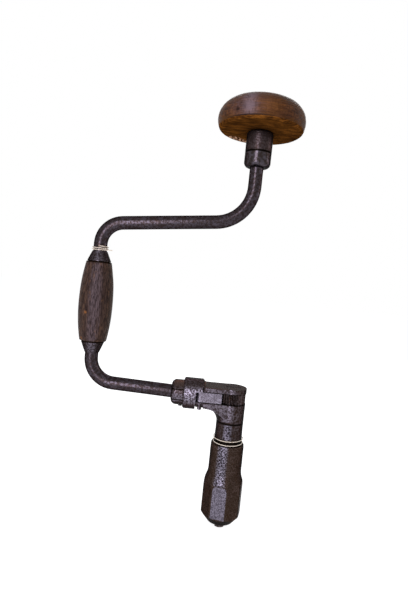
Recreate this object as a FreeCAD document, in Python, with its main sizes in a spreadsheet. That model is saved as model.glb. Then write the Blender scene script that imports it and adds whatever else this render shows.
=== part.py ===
import FreeCAD, Part
import math
import os
import Sketcher

# A bit brace: a bent iron crank with a wooden head on top, a wooden grip on the crank,
# a box ratchet with two pawls and a cam ring, and a two-jaw chuck below.
# Millimetres. Z runs up the main axis from the mouth of the jaws. The crank reaches towards -X.

doc = FreeCAD.newDocument("bit_brace")

# Driving dimensions. Heights build up from the mouth of the jaws, one length on the other.
DIMENSIONS = (
    ("running_clearance", 0.06, "radial play of a turning fit"),
    ("seat_clearance", 0.05, "radial play of a fixed fit"),
    ("face_gap", 0.2, "end play between faces that turn on each other"),

    ("rod_diameter", 11.5, "round iron of the crank"),
    ("crank_throw", 126.0, "main axis to the grip axis"),
    ("upper_bend_radius", 32.8, "bend under the head"),
    ("grip_bend_radius", 19.6, "bend above the grip"),
    ("lower_bend_radius", 21.0, "bend below the grip"),
    ("lower_arm_rise", 2.4, "lower arm from the ratchet to the grip axis"),
    ("upper_arm_rise", 13.6, "upper arm from the grip axis to the main axis"),
    ("head_neck_length", 12.2, "straight of the crank below the head"),
    ("spindle_shoulder", 1.25, "crank down to its turned upper end"),
    ("tenon_shoulder", 1.5, "crank down to its turned lower end"),

    ("head_diameter", 74.0, "wooden head"),
    ("head_edge_inset", 1.6, "widest level to the lower edge of the side"),
    ("head_edge_rise", 1.4, "underside to the lower edge of the side"),
    ("head_bevel_width", 2.4, "slope from that edge to the underside"),
    ("head_girth_rise", 8.3, "underside up to the widest level"),
    ("head_shoulder_radius", 15.5, "rounding of the head's top edge"),
    ("head_crown_rise", 3.0, "dome above the top edge"),
    ("quill_diameter", 22.4, "sleeve of the head and collar below it"),
    ("quill_length", 17.0, "sleeve below the wood"),
    ("quill_shoulder", 2.0, "rounding at the top of the sleeve"),
    ("quill_step", 3.2, "sleeve down to its shank in the wood"),
    ("quill_shank_length", 14.0, "depth of the shank in the wood"),
    ("collar_length", 11.8, "fixed collar"),
    ("collar_rounding", 4.0, "lower edge of the fixed collar"),
    ("collar_seat_depth", 4.5, "how far the rod enters the collar"),
    ("race_gap", 0.4, "gap between collar and sleeve"),
    ("race_wall", 1.6, "spindle to the balls"),
    ("ball_diameter", 3.175, "bearing ball"),
    ("ball_count", 10, "balls in the head bearing"),
    ("washer_inset", 0.7, "washer inside the hole of the wood"),
    ("washer_thickness", 1.5, "washer under the nut"),
    ("nut_inset", 0.4, "corners of the nut inside the washer"),
    ("nut_height", 5.5, "hexagon nut on the spindle"),
    ("spindle_end_rise", 0.9, "spindle above the nut"),

    ("grip_length", 68.4, "wooden grip"),
    ("grip_diameter", 29.2, "grip at its thickest"),
    ("grip_top_diameter", 21.6, "upper end of the grip"),
    ("grip_bottom_diameter", 23.6, "lower end of the grip"),
    ("grip_girth_height", 34.0, "lower end to the thickest place"),
    ("grip_edge", 0.8, "chamfer at the ends of the grip"),
    ("grip_play", 0.35, "radial play of the grip on the rod"),
    ("grip_end_gap", 0.2, "grip to collar"),
    ("collar_above_bend", 4.2, "lower bend to the lower collar"),
    ("bend_above_collar", 4.3, "upper collar to the bend above it"),
    ("top_collar_length", 9.0, "conical collar above the grip"),
    ("top_collar_inset", 0.95, "its edge inside the grip's"),
    ("top_collar_wall", 0.5, "its wall at the rod"),
    ("bottom_collar_length", 9.6, "conical collar below the grip"),
    ("bottom_collar_inset", 2.1, "its edge inside the grip's"),
    ("bottom_collar_wall", 0.5, "its wall at the rod"),
    ("grip_collar_band", 1.0, "straight band at the base of both collars"),

    ("tooth_count", 24, "teeth of the ratchet wheel"),
    ("wheel_tip_radius", 11.5, "over the teeth"),
    ("tooth_depth", 1.2, "depth of the teeth"),
    ("tooth_land", 2.4, "angle of a tooth's tip and root flats"),
    ("wheel_end_play", 0.25, "wheel to the ears"),
    ("wheel_play", 1.0, "wheel to the hollow of the arm"),
    ("wheel_seat_radius", 5.5, "spindle inside the wheel"),
    ("wheel_pin_diameter", 2.5, "cross pin of wheel and spindle"),
    ("wheel_pin_rise", 2.25, "wheel's underside to the cross pin"),
    ("pawl_length", 19.73, "pawl pin to the tip"),
    ("pawl_thickness", 4.0, "pawl bar"),
    ("pawl_end_play", 0.3, "pawl to the ears"),
    ("pawl_heel_radius", 3.1, "round heel of the pawl"),
    ("pawl_taper_length", 4.6, "heel to the straight of the bar"),
    ("pawl_root_gap", 0.25, "pawl corner to tooth root when home"),
    ("pawl_half_travel", 0.8, "pawl tip from neutral to home"),
    ("pawl_pocket_play", 0.4, "pawl to the walls of its pocket"),
    ("pawl_bevel", 1.3, "slope of the pawl's end"),
    ("pawl_inset", 0.28, "pawl inside the face of the arm"),
    ("pawl_pin_diameter", 3.6, "pawl pin"),
    ("pawl_pin_proud", 1.9, "pin below the arm"),
    ("pawl_pin_rounding", 0.8, "its rounded lower end"),
    ("pawl_pin_depth", 1.6, "pin end below the arm's top"),
    ("spring_offset", 1.9, "pawl pins to the pawl spring"),
    ("spring_diameter", 3.2, "pawl spring"),
    ("spring_wire", 0.6, "wire of the pawl spring"),
    ("spring_turns", 5, "turns of the pawl spring"),

    ("neck_length", 11.6, "neck of the box below the arm"),
    ("neck_straight", 0.2, "neck below the hollow that carries the arm"),
    ("neck_hollow_radius", 14.0, "roll of that hollow"),
    ("arm_rise", 8.9, "axis of the ratchet arm to its top"),
    ("arm_drop", 9.7, "axis of the ratchet arm to its underside"),
    ("slot_height", 9.0, "gap between the ears"),
    ("arm_edge", 0.8, "rounding of the arm's long edges"),
    ("box_head_wall", 0.4, "ears beyond the teeth"),
    ("journal_radius", 10.9, "round part that carries the cam ring"),
    ("journal_rounding", 4.4, "its rounded end"),
    ("ring_shoulder_radius", 11.6, "shoulder between the ring and the arm"),
    ("rod_socket_depth", 4.5, "how far the rod enters the box"),
    ("frame_pin_edge", 4.1, "cross pin to the rod's shoulder"),
    ("frame_pin_diameter", 3.2, "cross pin of crank and box"),
    ("frame_pin_proud", 1.2, "what stands out below"),
    ("tenon_beyond_pin", 10.3, "turned lower end beyond the cross pin"),
    ("ring_width", 11.0, "cam ring on the journal"),
    ("ring_end_gap", 0.4, "ring to the pin, the pockets and the shoulder"),
    ("ring_edge", 1.1, "chamfer of the ring"),
    ("ring_tab_gap", 0.35, "tab over the pawl heels"),
    ("ring_tab_thickness", 1.15, "tab over the pawl heels"),
    ("ring_tab_rise", 4.4, "tab edge above the arm axis"),

    ("upper_journal_diameter", 9.0, "spindle in the upper ear"),
    ("main_journal_radius", 7.0, "spindle in the neck"),
    ("screw_head_diameter", 13.0, "screw that holds the spindle up"),
    ("screw_head_height", 2.0, "its flush head"),
    ("screw_shank_diameter", 5.0, "its shank"),
    ("screw_end_room", 1.15, "its end above the wheel's cross pin"),
    ("screw_slot_width", 1.4, "driver slot"),
    ("screw_slot_depth", 1.0, "driver slot"),
    ("socket_collar_radius", 11.85, "spindle collar and neck at their parting"),
    ("socket_straight", 7.0, "straight part of that collar"),
    ("socket_flare", 0.25, "how much it widens"),
    ("socket_flare_length", 8.0, "length of the flare"),
    ("socket_skirt_length", 7.8, "widest part of the collar"),
    ("screw_thread_radius", 9.5, "chuck screw"),
    ("screw_thread_length", 19.5, "thread inside the shell"),
    ("screw_shoulder_gap", 0.5, "shell's thread to the collar"),
    ("screw_ring_room", 2.2, "chuck screw above the thrust ring"),

    ("jaw_length", 43.0, "jaws"),
    ("jaw_head_room", 0.8, "jaws to the roof of their slot"),
    ("jaw_thickness", 8.0, "jaw across the slot"),
    ("jaw_slot_play", 0.15, "jaw to slot wall"),
    ("jaw_gap", 4.6, "jaw faces apart at rest"),
    ("jaw_heel_gap", 2.4, "jaw faces apart above the spring"),
    ("jaw_heel_height", 29.0, "where the jaws thicken"),
    ("jaw_tip_radius", 4.9, "jaws at their tips"),
    ("jaw_room", 0.45, "jaws to what surrounds them"),
    ("jaw_travel_room", 3.35, "room for the jaws to open"),
    ("jaw_taper_length", 16.0, "tapered part of the jaws"),
    ("jaw_notch", 5.7, "square that the notches hold"),
    ("jaw_spring_thickness", 0.5, "leaf between the jaws"),
    ("jaw_spring_width", 5.0, "leaf between the jaws"),
    ("jaw_spring_length", 10.0, "leaf between the jaws"),
    ("tang_socket_width", 6.2, "square hole for the tang"),
    ("tang_socket_depth", 8.0, "square hole for the tang"),
    ("thrust_ring_height", 6.0, "ring that closes the jaws"),
    ("nose_lip_height", 3.6, "end of the nose above the jaw tips"),
    ("nose_knee_rise", 2.1, "end of the nose to its knee"),
    ("nose_seat_rise", 4.1, "knee to the seat of the ring"),
    ("nose_cone_rise", 3.1, "seat of the ring to the end of the cone"),
    ("nose_lip_wall", 2.3, "wall at the end of the nose"),
    ("nose_wall", 3.57, "wall at the knee"),
    ("shell_lip", 4.4, "shell round the collar"),
    ("shell_lip_room", 0.8, "gap between them"),
    ("shell_lip_wall", 1.5, "its wall there"),
    ("shell_wall", 4.15, "wall at the flats"),
    ("shell_flat_depth", 1.1, "flats inside the round"),
    ("shell_flat_turn", 13.0, "turn of the flats, degrees"),
    ("shell_flare_start", 0.5, "top of the jaw room to the flare"),
    ("shell_flare_length", 16.0, "widening part"),
    ("shell_edge", 1.2, "rounding of the shell's top"),

    ("neck_wire_diameter", 1.1, "tie wire round the neck"),
    ("neck_wire_pitch", 3.4, "between its two turns"),
    ("neck_wire_rise", 0.15, "slow rise of each turn"),
    ("neck_wire_lean", 0.3, "lean towards the crank side"),
    ("neck_wire_gap", 0.15, "wire to what it lies on"),
    ("grip_wire_diameter", 1.2, "tie wire above the grip"),
    ("grip_wire_pitch", 1.7, "between its turns"),
    ("grip_wire_lift", 0.4, "wire above the collar"),
    ("grip_wire_tail", 5.5, "loose end of that wire"),
)

sheet = doc.addObject("Spreadsheet::Sheet", "Sizes")
for row, (alias, value, note) in enumerate(DIMENSIONS, start=1):
    sheet.set("A%d" % row, alias.replace("_", " "))
    sheet.set("B%d" % row, str(value))
    sheet.set("C%d" % row, note)
    sheet.setAlias("B%d" % row, alias)
doc.recompute()


class Size:
    """A size worked out from the sheet: its number now, and the expression that keeps it up to date."""

    def __init__(self, number, text):
        self.number = number
        self.text = text

    def __add__(self, other):
        other = as_size(other)
        return Size(self.number + other.number, "(%s + %s)" % (self.text, other.text))

    def __sub__(self, other):
        other = as_size(other)
        return Size(self.number - other.number, "(%s - %s)" % (self.text, other.text))

    def __mul__(self, other):
        other = as_size(other)
        return Size(self.number * other.number, "(%s * %s)" % (self.text, other.text))

    def __truediv__(self, other):
        other = as_size(other)
        return Size(self.number / other.number, "(%s / %s)" % (self.text, other.text))

    def __neg__(self):
        return Size(-self.number, "(-1 * %s)" % self.text)

    def __rsub__(self, other):
        return as_size(other) - self

    def __rtruediv__(self, other):
        return as_size(other) / self

    __radd__ = __add__
    __rmul__ = __mul__


def as_size(value):
    if isinstance(value, Size):
        return value
    return Size(float(value), "(%s)" % value)


def cell(alias):
    return Size(float(sheet.get(alias)), "Sizes.%s" % alias)


def root(size):
    return Size(math.sqrt(size.number), "sqrt(%s)" % size.text)


def cosine(degrees):
    degrees = as_size(degrees)
    return Size(math.cos(math.radians(degrees.number)), "cos(%s)" % degrees.text)


def sine(degrees):
    degrees = as_size(degrees)
    return Size(math.sin(math.radians(degrees.number)), "sin(%s)" % degrees.text)


def bind(item, **properties):
    """Ties properties of a document object to the sheet. Two underscores stand for a dot."""
    for name, size in properties.items():
        size = as_size(size)
        path = name.replace("__", ".")
        item.setExpression(path, size.text)


def place(item, x=0, y=0, z=0):
    bind(item, Placement__Base__x=x, Placement__Base__y=y, Placement__Base__z=z)
    return item


def turn(item, axis, degrees):
    """Turns an object about one of its own axes through its origin."""
    placement = item.Placement
    placement.Rotation = FreeCAD.Rotation(FreeCAD.Vector(*axis), degrees)
    item.Placement = placement
    return item


# Plain solids and booleans

ALONG_X = ((0, 1, 0), 90)
ALONG_Y = ((1, 0, 0), -90)


def rod_solid(name, radius, length, x=0, y=0, z=0, along=None):
    item = doc.addObject("Part::Cylinder", name)
    if along:
        turn(item, *along)
    bind(item, Radius=radius, Height=length)
    return place(item, x, y, z)


def cone_solid(name, low_radius, high_radius, height, z=0):
    item = doc.addObject("Part::Cone", name)
    bind(item, Radius1=low_radius, Radius2=high_radius, Height=height)
    return place(item, z=z)


def block(name, low, size):
    """A box from its lowest corner and its three sizes."""
    item = doc.addObject("Part::Box", name)
    bind(item, Length=size[0], Width=size[1], Height=size[2])
    return place(item, *low)


def joined(name, pieces):
    item = doc.addObject("Part::MultiFuse", name)
    item.Shapes = pieces
    return item


def shared(name, pieces):
    item = doc.addObject("Part::MultiCommon", name)
    item.Shapes = pieces
    return item


def without(name, base, tools):
    item = doc.addObject("Part::Cut", name)
    item.Base = base
    item.Tool = tools[0] if len(tools) == 1 else joined(name + "_tools", tools)
    return item


# Sketches whose corners follow the sheet

def origin_plane(body, role):
    return [f for f in body.Origin.OriginFeatures if f.Role == role][0]


def arc_middle(start, end, radius, side):
    """Middle of the arc from start to end. Side 1 bulges to the right of the way, -1 to the left."""
    half = (end - start) * 0.5
    rise = radius - math.sqrt(max(radius ** 2 - half.Length ** 2, 0.0))
    right = FreeCAD.Vector(half.y, -half.x, 0).normalize()
    return start + half + right * (side * rise)


def fix_point(sketch, geometry, position, x, y):
    """Holds a sketch point at x, y."""
    for kind, size, axis in (("DistanceX", x, -2), ("DistanceY", y, -1)):
        size = as_size(size)
        if size.text == "(0)":
            sketch.addConstraint(Sketcher.Constraint("PointOnObject", geometry, position, axis))
        else:
            index = sketch.addConstraint(
                Sketcher.Constraint(kind, -1, 1, geometry, position, size.number))
            sketch.setExpression("Constraints[%d]" % index, size.text)


def add_outline(sketch, corners, arcs=None):
    """Closed outline through the corners. arcs maps a side's number to its radius and bulge."""
    arcs = arcs or {}
    points = [FreeCAD.Vector(as_size(x).number, as_size(y).number, 0) for x, y in corners]
    first = None
    before = None
    for number, start in enumerate(points):
        end = points[(number + 1) % len(points)]
        start_position, end_position = 1, 2
        if number in arcs:
            radius, side = arcs[number]
            middle = arc_middle(start, end, as_size(radius).number, side)
            curve = Part.Arc(start, middle, end)
            index = sketch.addGeometry(curve, False)
            if sketch.getPoint(index, 1).distanceToPoint(start) > 1e-6:
                start_position, end_position = 2, 1
            bend = sketch.addConstraint(
                Sketcher.Constraint("Radius", index, as_size(radius).number))
            sketch.setExpression("Constraints[%d]" % bend, as_size(radius).text)
        else:
            index = sketch.addGeometry(Part.LineSegment(start, end), False)
        fix_point(sketch, index, start_position, *corners[number])
        if before is not None:
            sketch.addConstraint(
                Sketcher.Constraint("Coincident", before[0], before[1], index, start_position))
        else:
            first = (index, start_position)
        before = (index, end_position)
    sketch.addConstraint(Sketcher.Constraint("Coincident", before[0], before[1], *first))


def add_circle(sketch, x, y, radius):
    x, y, radius = as_size(x), as_size(y), as_size(radius)
    centre = FreeCAD.Vector(x.number, y.number, 0)
    index = sketch.addGeometry(Part.Circle(centre, FreeCAD.Vector(0, 0, 1), radius.number), False)
    bend = sketch.addConstraint(Sketcher.Constraint("Radius", index, radius.number))
    sketch.setExpression("Constraints[%d]" % bend, radius.text)
    fix_point(sketch, index, 3, x, y)


def new_sketch(body, name, role):
    sketch = body.newObject("Sketcher::SketchObject", name)
    sketch.AttachmentSupport = (origin_plane(body, role), [""])
    sketch.MapMode = "FlatFace"
    return sketch


def turned(name, corners, arcs=None, axis="V_Axis"):
    """A body turned about its own Z axis (or its X axis) from a half outline in the XZ plane."""
    body = doc.addObject("PartDesign::Body", name)
    sketch = new_sketch(body, name + "_outline", "XZ_Plane")
    add_outline(sketch, corners, arcs)
    feature = body.newObject("PartDesign::Revolution", name + "_turn")
    feature.Profile = sketch
    feature.ReferenceAxis = (sketch, [axis])
    feature.Angle = 360
    sketch.Visibility = False
    return body


def extruded(name, role, height, corners, arcs=None, circles=(), midplane=False):
    """A body pushed out from an outline in one of its origin planes."""
    body = doc.addObject("PartDesign::Body", name)
    sketch = new_sketch(body, name + "_outline", role)
    add_outline(sketch, corners, arcs)
    for circle in circles:
        add_circle(sketch, *circle)
    feature = body.newObject("PartDesign::Pad", name + "_pad")
    feature.Profile = sketch
    bind(feature, Length=height)
    feature.Midplane = midplane
    return body


# Windings

def biarc(start, start_way, end, end_way):
    """Two arcs that leave start and reach end in the given directions."""
    chord = end - start
    ways = start_way + end_way
    spread = 2 * (1 - start_way.dot(end_way))
    along = chord.dot(ways)
    reach = (math.sqrt(along ** 2 + spread * chord.dot(chord)) - along) / spread
    first_knee = start + start_way * reach
    second_knee = end - end_way * reach
    joint = (first_knee + second_knee) * 0.5
    arcs = []
    for low, knee, high in ((start, first_knee, joint), (joint, second_knee, end)):
        middle = (low + high) * 0.5
        half_turn = (knee - low).getAngle(high - low)
        share = math.cos(half_turn) / (1 + math.cos(half_turn))
        arcs.append(Part.Arc(low, middle + (knee - middle) * share, high).toShape())
    return arcs


def winding(route, turns, wire_diameter, tail=0.0):
    """One unbroken tube on a route that gives a point for a number of turns."""
    def way(turn_number):
        step = 0.0005
        return (route(turn_number + step) - route(turn_number - step)).normalize()

    quarters = int(round(turns * 4))
    edges = []
    if tail:
        edges.append(Part.LineSegment(route(0) - way(0) * tail, route(0)).toShape())
    for quarter in range(quarters):
        start, end = quarter / 4, (quarter + 1) / 4
        edges.extend(biarc(route(start), way(start), route(end), way(end)))
    path = Part.Wire(edges)
    begin = route(0) - way(0) * tail
    profile = Part.Wire(Part.Circle(begin, way(0), wire_diameter / 2).toShape())
    tube = path.makePipeShell([profile], True, False)
    return tube, path


def least_gap(path, wire_diameter, turns):
    """Least distance of a winding to itself, less the wire, on points half a turn or more apart."""
    per_turn = 48
    points = path.discretize(Number=int(per_turn * turns) + 1)
    apart = per_turn // 2
    return min(a.distanceToPoint(b) for i, a in enumerate(points)
               for b in points[i + apart:]) - wire_diameter


def wound_feature(name, shape):
    item = doc.addObject("Part::Feature", name)
    item.Shape = shape
    return item


# Sizes that follow from the others

# Chuck, from the mouth of the jaws up
slot_roof = cell("jaw_length") + cell("jaw_head_room")
nose_knee = cell("nose_lip_height") + cell("nose_knee_rise")
ring_seat = nose_knee + cell("nose_seat_rise")
cone_end = ring_seat + cell("nose_cone_rise")
screw_low = ring_seat + cell("thrust_ring_height") + cell("screw_ring_room")
jaw_room_top = slot_roof + cell("tang_socket_depth") + cell("face_gap")
flare_top = jaw_room_top + cell("shell_flare_start")
flare_bottom = flare_top - cell("shell_flare_length")
thread_top = jaw_room_top + cell("screw_thread_length")
shell_top = thread_top + cell("shell_lip")
skirt_bottom = thread_top + cell("screw_shoulder_gap")
skirt_top = skirt_bottom + cell("socket_skirt_length")
straight_bottom = skirt_top + cell("socket_flare_length")
collar_face = straight_bottom + cell("socket_straight")
jaw_radius = cell("screw_thread_radius") - cell("jaw_room")
jaw_room_radius = jaw_radius + cell("jaw_travel_room")
skirt_radius = cell("socket_collar_radius") + cell("socket_flare")
shell_flat_radius = jaw_room_radius + cell("shell_wall")
shell_lower_radius = shell_flat_radius + cell("shell_flat_depth")
collar_room = skirt_radius + cell("shell_lip_room")
shell_upper_radius = collar_room + cell("shell_lip_wall")


def jaw_radius_at(height):
    """Radius of the jaws' tapered part at a height."""
    return cell("jaw_tip_radius") + (jaw_radius - cell("jaw_tip_radius")) * height / cell("jaw_taper_length")


nose_mouth = jaw_radius_at(cell("nose_lip_height")) + cell("jaw_room")
nose_throat = jaw_radius_at(ring_seat) + cell("jaw_room") * 2

# Box ratchet
neck_bottom = collar_face + cell("face_gap")
arm_bottom = neck_bottom + cell("neck_length")
arm_height = arm_bottom + cell("arm_drop")
arm_top = arm_height + cell("arm_rise")
slot_bottom = arm_height - cell("slot_height") / 2
slot_top = arm_height + cell("slot_height") / 2
wheel_bottom = slot_bottom + cell("wheel_end_play")
wheel_top = slot_top - cell("wheel_end_play")
wheel_pin_height = wheel_bottom + cell("wheel_pin_rise")
tooth_root_radius = cell("wheel_tip_radius") - cell("tooth_depth")
screw_seat = arm_top - cell("screw_head_height") - cell("face_gap")
spindle_face = screw_seat + cell("face_gap")
screw_end = wheel_pin_height + cell("wheel_pin_diameter") / 2 + cell("screw_end_room")
engaged_angle = 2.5 * 360 / cell("tooth_count")
corner_radius = tooth_root_radius + cell("pawl_root_gap")
pawl_end = corner_radius * cosine(engaged_angle)
pawl_home = corner_radius * sine(engaged_angle)
pawl_inner = pawl_home + cell("pawl_half_travel")
pawl_outer = pawl_inner + cell("pawl_thickness")
pawl_height = cell("slot_height") - cell("pawl_end_play") * 2
pawl_pivot = pawl_end + cell("pawl_length")
pawl_pivot_side = pawl_outer - cell("pawl_heel_radius")
pocket_floor = pawl_home - cell("pawl_pocket_play")
pocket_radius = cell("pawl_heel_radius") + cell("pawl_pocket_play")
pocket_end = pawl_pivot + pocket_radius
spring_place = pawl_pivot + cell("spring_offset")
arm_half_width = pawl_outer + cell("pawl_inset")
arm_shoulder = pawl_pivot - cell("pawl_heel_radius")
ring_end = arm_shoulder + cell("ring_end_gap")
ring_step = pocket_end + cell("ring_end_gap")
ring_start = ring_step + cell("ring_width")
ring_tab_inside = root(pawl_outer * pawl_outer + pawl_height * pawl_height / 4) + cell("ring_tab_gap")
ring_radius = ring_tab_inside + cell("ring_tab_thickness")
frame_pin_place = ring_start + cell("ring_end_gap") + cell("frame_pin_diameter") / 2
rod_entry = frame_pin_place + cell("frame_pin_edge")
journal_end = rod_entry + cell("rod_socket_depth")
tenon_end = frame_pin_place - cell("tenon_beyond_pin")

# Crank and grip
rod_radius = cell("rod_diameter") / 2
spindle_radius = rod_radius - cell("spindle_shoulder")
tenon_radius = rod_radius - cell("tenon_shoulder")
lower_corner = arm_height + cell("lower_arm_rise")
bottom_collar_end = lower_corner + cell("lower_bend_radius") + cell("collar_above_bend")
bottom_collar_base = bottom_collar_end + cell("bottom_collar_length")
grip_bottom = bottom_collar_base + cell("grip_end_gap")
grip_top = grip_bottom + cell("grip_length")
top_collar_base = grip_top + cell("grip_end_gap")
top_collar_end = top_collar_base + cell("top_collar_length")
grip_corner = top_collar_end + cell("bend_above_collar") + cell("grip_bend_radius")
upper_corner = grip_corner + cell("upper_arm_rise")

# Head
collar_bottom = upper_corner + cell("upper_bend_radius") + cell("head_neck_length")
collar_top = collar_bottom + cell("collar_length")
rod_top = collar_bottom + cell("collar_seat_depth")
quill_bottom = collar_top + cell("race_gap")
head_underside = quill_bottom + cell("quill_length")
shank_top = head_underside + cell("quill_shank_length")
washer_bottom = shank_top + cell("face_gap")
nut_bottom = washer_bottom + cell("washer_thickness")
spindle_top = nut_bottom + cell("nut_height") + cell("spindle_end_rise")
quill_radius = cell("quill_diameter") / 2
shank_radius = quill_radius - cell("quill_step")
race_radius = spindle_radius + cell("race_wall") + cell("ball_diameter") / 2


# Crank

def crank_corners():
    """Corners of the crank's centre line in the XZ plane, from the head down to the box."""
    return ((0, rod_top),
            (0, upper_corner),
            (-cell("crank_throw"), grip_corner),
            (-cell("crank_throw"), lower_corner),
            (-rod_entry, arm_height))


def bend_points(before, corner, after, radius):
    """Where a bend of this radius leaves the first run, its middle, and where it joins the next."""
    back = (before - corner).normalize()
    on = (after - corner).normalize()
    half = back.getAngle(on) / 2
    reach = radius / math.tan(half)
    centre = corner + (back + on).normalize() * (radius / math.sin(half))
    return corner + back * reach, centre + (corner - centre).normalize() * radius, corner + on * reach


def crank_path(body):
    """Centre line: straight runs joined by tangent bends."""
    sketch = new_sketch(body, "crank_path", "XZ_Plane")
    corners = crank_corners()
    points = [FreeCAD.Vector(as_size(x).number, as_size(z).number, 0) for x, z in corners]
    radii = [cell("upper_bend_radius"), cell("grip_bend_radius"), cell("lower_bend_radius")]
    bends = [bend_points(points[k], points[k + 1], points[k + 2], radii[k].number) for k in range(3)]
    stops = [points[0]]
    for bend in bends:
        stops.extend((bend[0], bend[2]))
    stops.append(points[-1])
    runs = []
    for k in range(4):
        runs.append(sketch.addGeometry(Part.LineSegment(stops[2 * k], stops[2 * k + 1]), False))
    fix_point(sketch, runs[0], 1, *corners[0])
    fix_point(sketch, runs[3], 2, *corners[4])
    sketch.addConstraint(Sketcher.Constraint("Vertical", runs[0]))
    for k, bend in enumerate(bends):
        knee = sketch.addGeometry(Part.Point(points[k + 1]), True)
        fix_point(sketch, knee, 1, *corners[k + 1])
        if k > 0:
            sketch.addConstraint(Sketcher.Constraint("PointOnObject", knee, 1, runs[k]))
        sketch.addConstraint(Sketcher.Constraint("PointOnObject", knee, 1, runs[k + 1]))
        arc = sketch.addGeometry(Part.Arc(*bend), False)
        first, last = 1, 2
        if sketch.getPoint(arc, 1).distanceToPoint(bend[0]) > 1e-6:
            first, last = 2, 1
        sketch.addConstraint(Sketcher.Constraint("Tangent", runs[k], 2, arc, first))
        sketch.addConstraint(Sketcher.Constraint("Tangent", arc, last, runs[k + 1], 1))
        index = sketch.addConstraint(Sketcher.Constraint("Radius", arc, radii[k].number))
        sketch.setExpression("Constraints[%d]" % index, radii[k].text)
    return sketch


def sweep_frame():
    body = doc.addObject("PartDesign::Body", "crank")
    path = crank_path(body)
    section = body.newObject("Sketcher::SketchObject", "crank_section")
    section.AttachmentSupport = (origin_plane(body, "XY_Plane"), [""])
    section.MapMode = "FlatFace"
    section.setExpression("AttachmentOffset.Base.z", rod_top.text)
    add_circle(section, 0, 0, rod_radius)
    pipe = body.newObject("PartDesign::AdditivePipe", "crank_rod")
    pipe.Profile = section
    pipe.Spine = path
    spindle = new_sketch(body, "spindle_outline", "XZ_Plane")
    root_depth = rod_top - cell("collar_seat_depth")
    add_outline(spindle, ((0, root_depth), (spindle_radius, root_depth),
                          (spindle_radius, spindle_top), (0, spindle_top)))
    turn_up = body.newObject("PartDesign::Revolution", "spindle_turn")
    turn_up.Profile = spindle
    turn_up.ReferenceAxis = (spindle, ["V_Axis"])
    turn_up.Angle = 360
    tenon = body.newObject("Sketcher::SketchObject", "tenon_section")
    tenon.AttachmentSupport = (origin_plane(body, "YZ_Plane"), [""])
    tenon.MapMode = "FlatFace"
    tenon_start = rod_entry + rod_radius
    tenon.setExpression("AttachmentOffset.Base.z", (-tenon_start).text)
    add_circle(tenon, 0, arm_height, tenon_radius)
    pad = body.newObject("PartDesign::Pad", "tenon_pad")
    pad.Profile = tenon
    bind(pad, Length=tenon_start - tenon_end)
    hole = rod_solid("tenon_pin_hole", cell("frame_pin_diameter") / 2 + cell("seat_clearance"),
                     rod_radius * 2, x=-frame_pin_place, z=arm_height - rod_radius)
    return without("sweep_frame", body, [hole])


def bearing_collar():
    outer = quill_radius
    rounding = cell("collar_rounding")
    body = turned("head_collar_blank", (
        (rod_radius + cell("seat_clearance"), collar_bottom),
        (outer - rounding, collar_bottom),
        (outer, collar_bottom + rounding),
        (outer, collar_top),
        (spindle_radius + cell("seat_clearance"), collar_top),
        (spindle_radius + cell("seat_clearance"), rod_top),
        (rod_radius + cell("seat_clearance"), rod_top)),
        {1: (rounding, 1)})
    return without("head_collar", body, [race_groove("collar_groove")])


def race_groove(name):
    """Ring-shaped groove that leaves each ball its seat clearance."""
    groove = doc.addObject("Part::Torus", name)
    bind(groove, Radius1=race_radius, Radius2=cell("ball_diameter") / 2 + cell("seat_clearance"))
    return place(groove, z=quill_bottom - cell("race_gap") / 2)


def bearing_balls():
    balls = []
    for number in range(int(cell("ball_count").number)):
        angle = number * 360 / cell("ball_count")
        ball = doc.addObject("Part::Sphere", "ball_%d" % (number + 1))
        bind(ball, Radius=cell("ball_diameter") / 2)
        place(ball, race_radius * cosine(angle), race_radius * sine(angle), quill_bottom - cell("race_gap") / 2)
        balls.append(ball)
    group = doc.addObject("Part::Compound", "bearing_balls")
    group.Links = balls
    return group


def head_quill():
    bore = spindle_radius + cell("running_clearance")
    outer = quill_radius
    shoulder = cell("quill_shoulder")
    body = turned("head_quill_blank", (
        (bore, quill_bottom),
        (outer, quill_bottom),
        (outer, head_underside - shoulder),
        (outer - shoulder, head_underside),
        (shank_radius, head_underside),
        (shank_radius, shank_top),
        (bore, shank_top)),
        {2: (shoulder, 1)})
    return without("head_quill", body, [race_groove("quill_groove")])


def sweep_radius(half, bulge):
    """Radius of the arc that rises by bulge over a length of half."""
    return (half * half + bulge * bulge) / (bulge * 2)


def wooden_head():
    radius = cell("head_diameter") / 2
    girth = head_underside + cell("head_girth_rise")
    edge = head_underside + cell("head_edge_rise")
    shoulder = cell("head_shoulder_radius")
    crown = girth + shoulder + cell("head_crown_rise")
    inset = cell("head_edge_inset")
    bevel_width = cell("head_bevel_width")
    bevel_arc = root(bevel_width * bevel_width + cell("head_edge_rise") * cell("head_edge_rise")) * 2
    rim = radius - shoulder
    bore = shank_radius + cell("seat_clearance")
    bore_top = spindle_top + cell("face_gap")
    return turned("wooden_head", (
        (bore, head_underside),
        (radius - inset - bevel_width, head_underside),
        (radius - inset, edge),
        (radius, girth),
        (rim, girth + shoulder),
        (0, crown),
        (0, bore_top),
        (bore, bore_top)),
        {1: (bevel_arc, 1), 2: (sweep_radius(girth - edge, inset), 1), 3: (shoulder, 1),
         4: (sweep_radius(rim, cell("head_crown_rise")), 1)})


def spindle_washer():
    bore = spindle_radius + cell("seat_clearance")
    outer = shank_radius - cell("washer_inset")
    return turned("spindle_washer", (
        (bore, washer_bottom), (outer, washer_bottom), (outer, nut_bottom), (bore, nut_bottom)))


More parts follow.
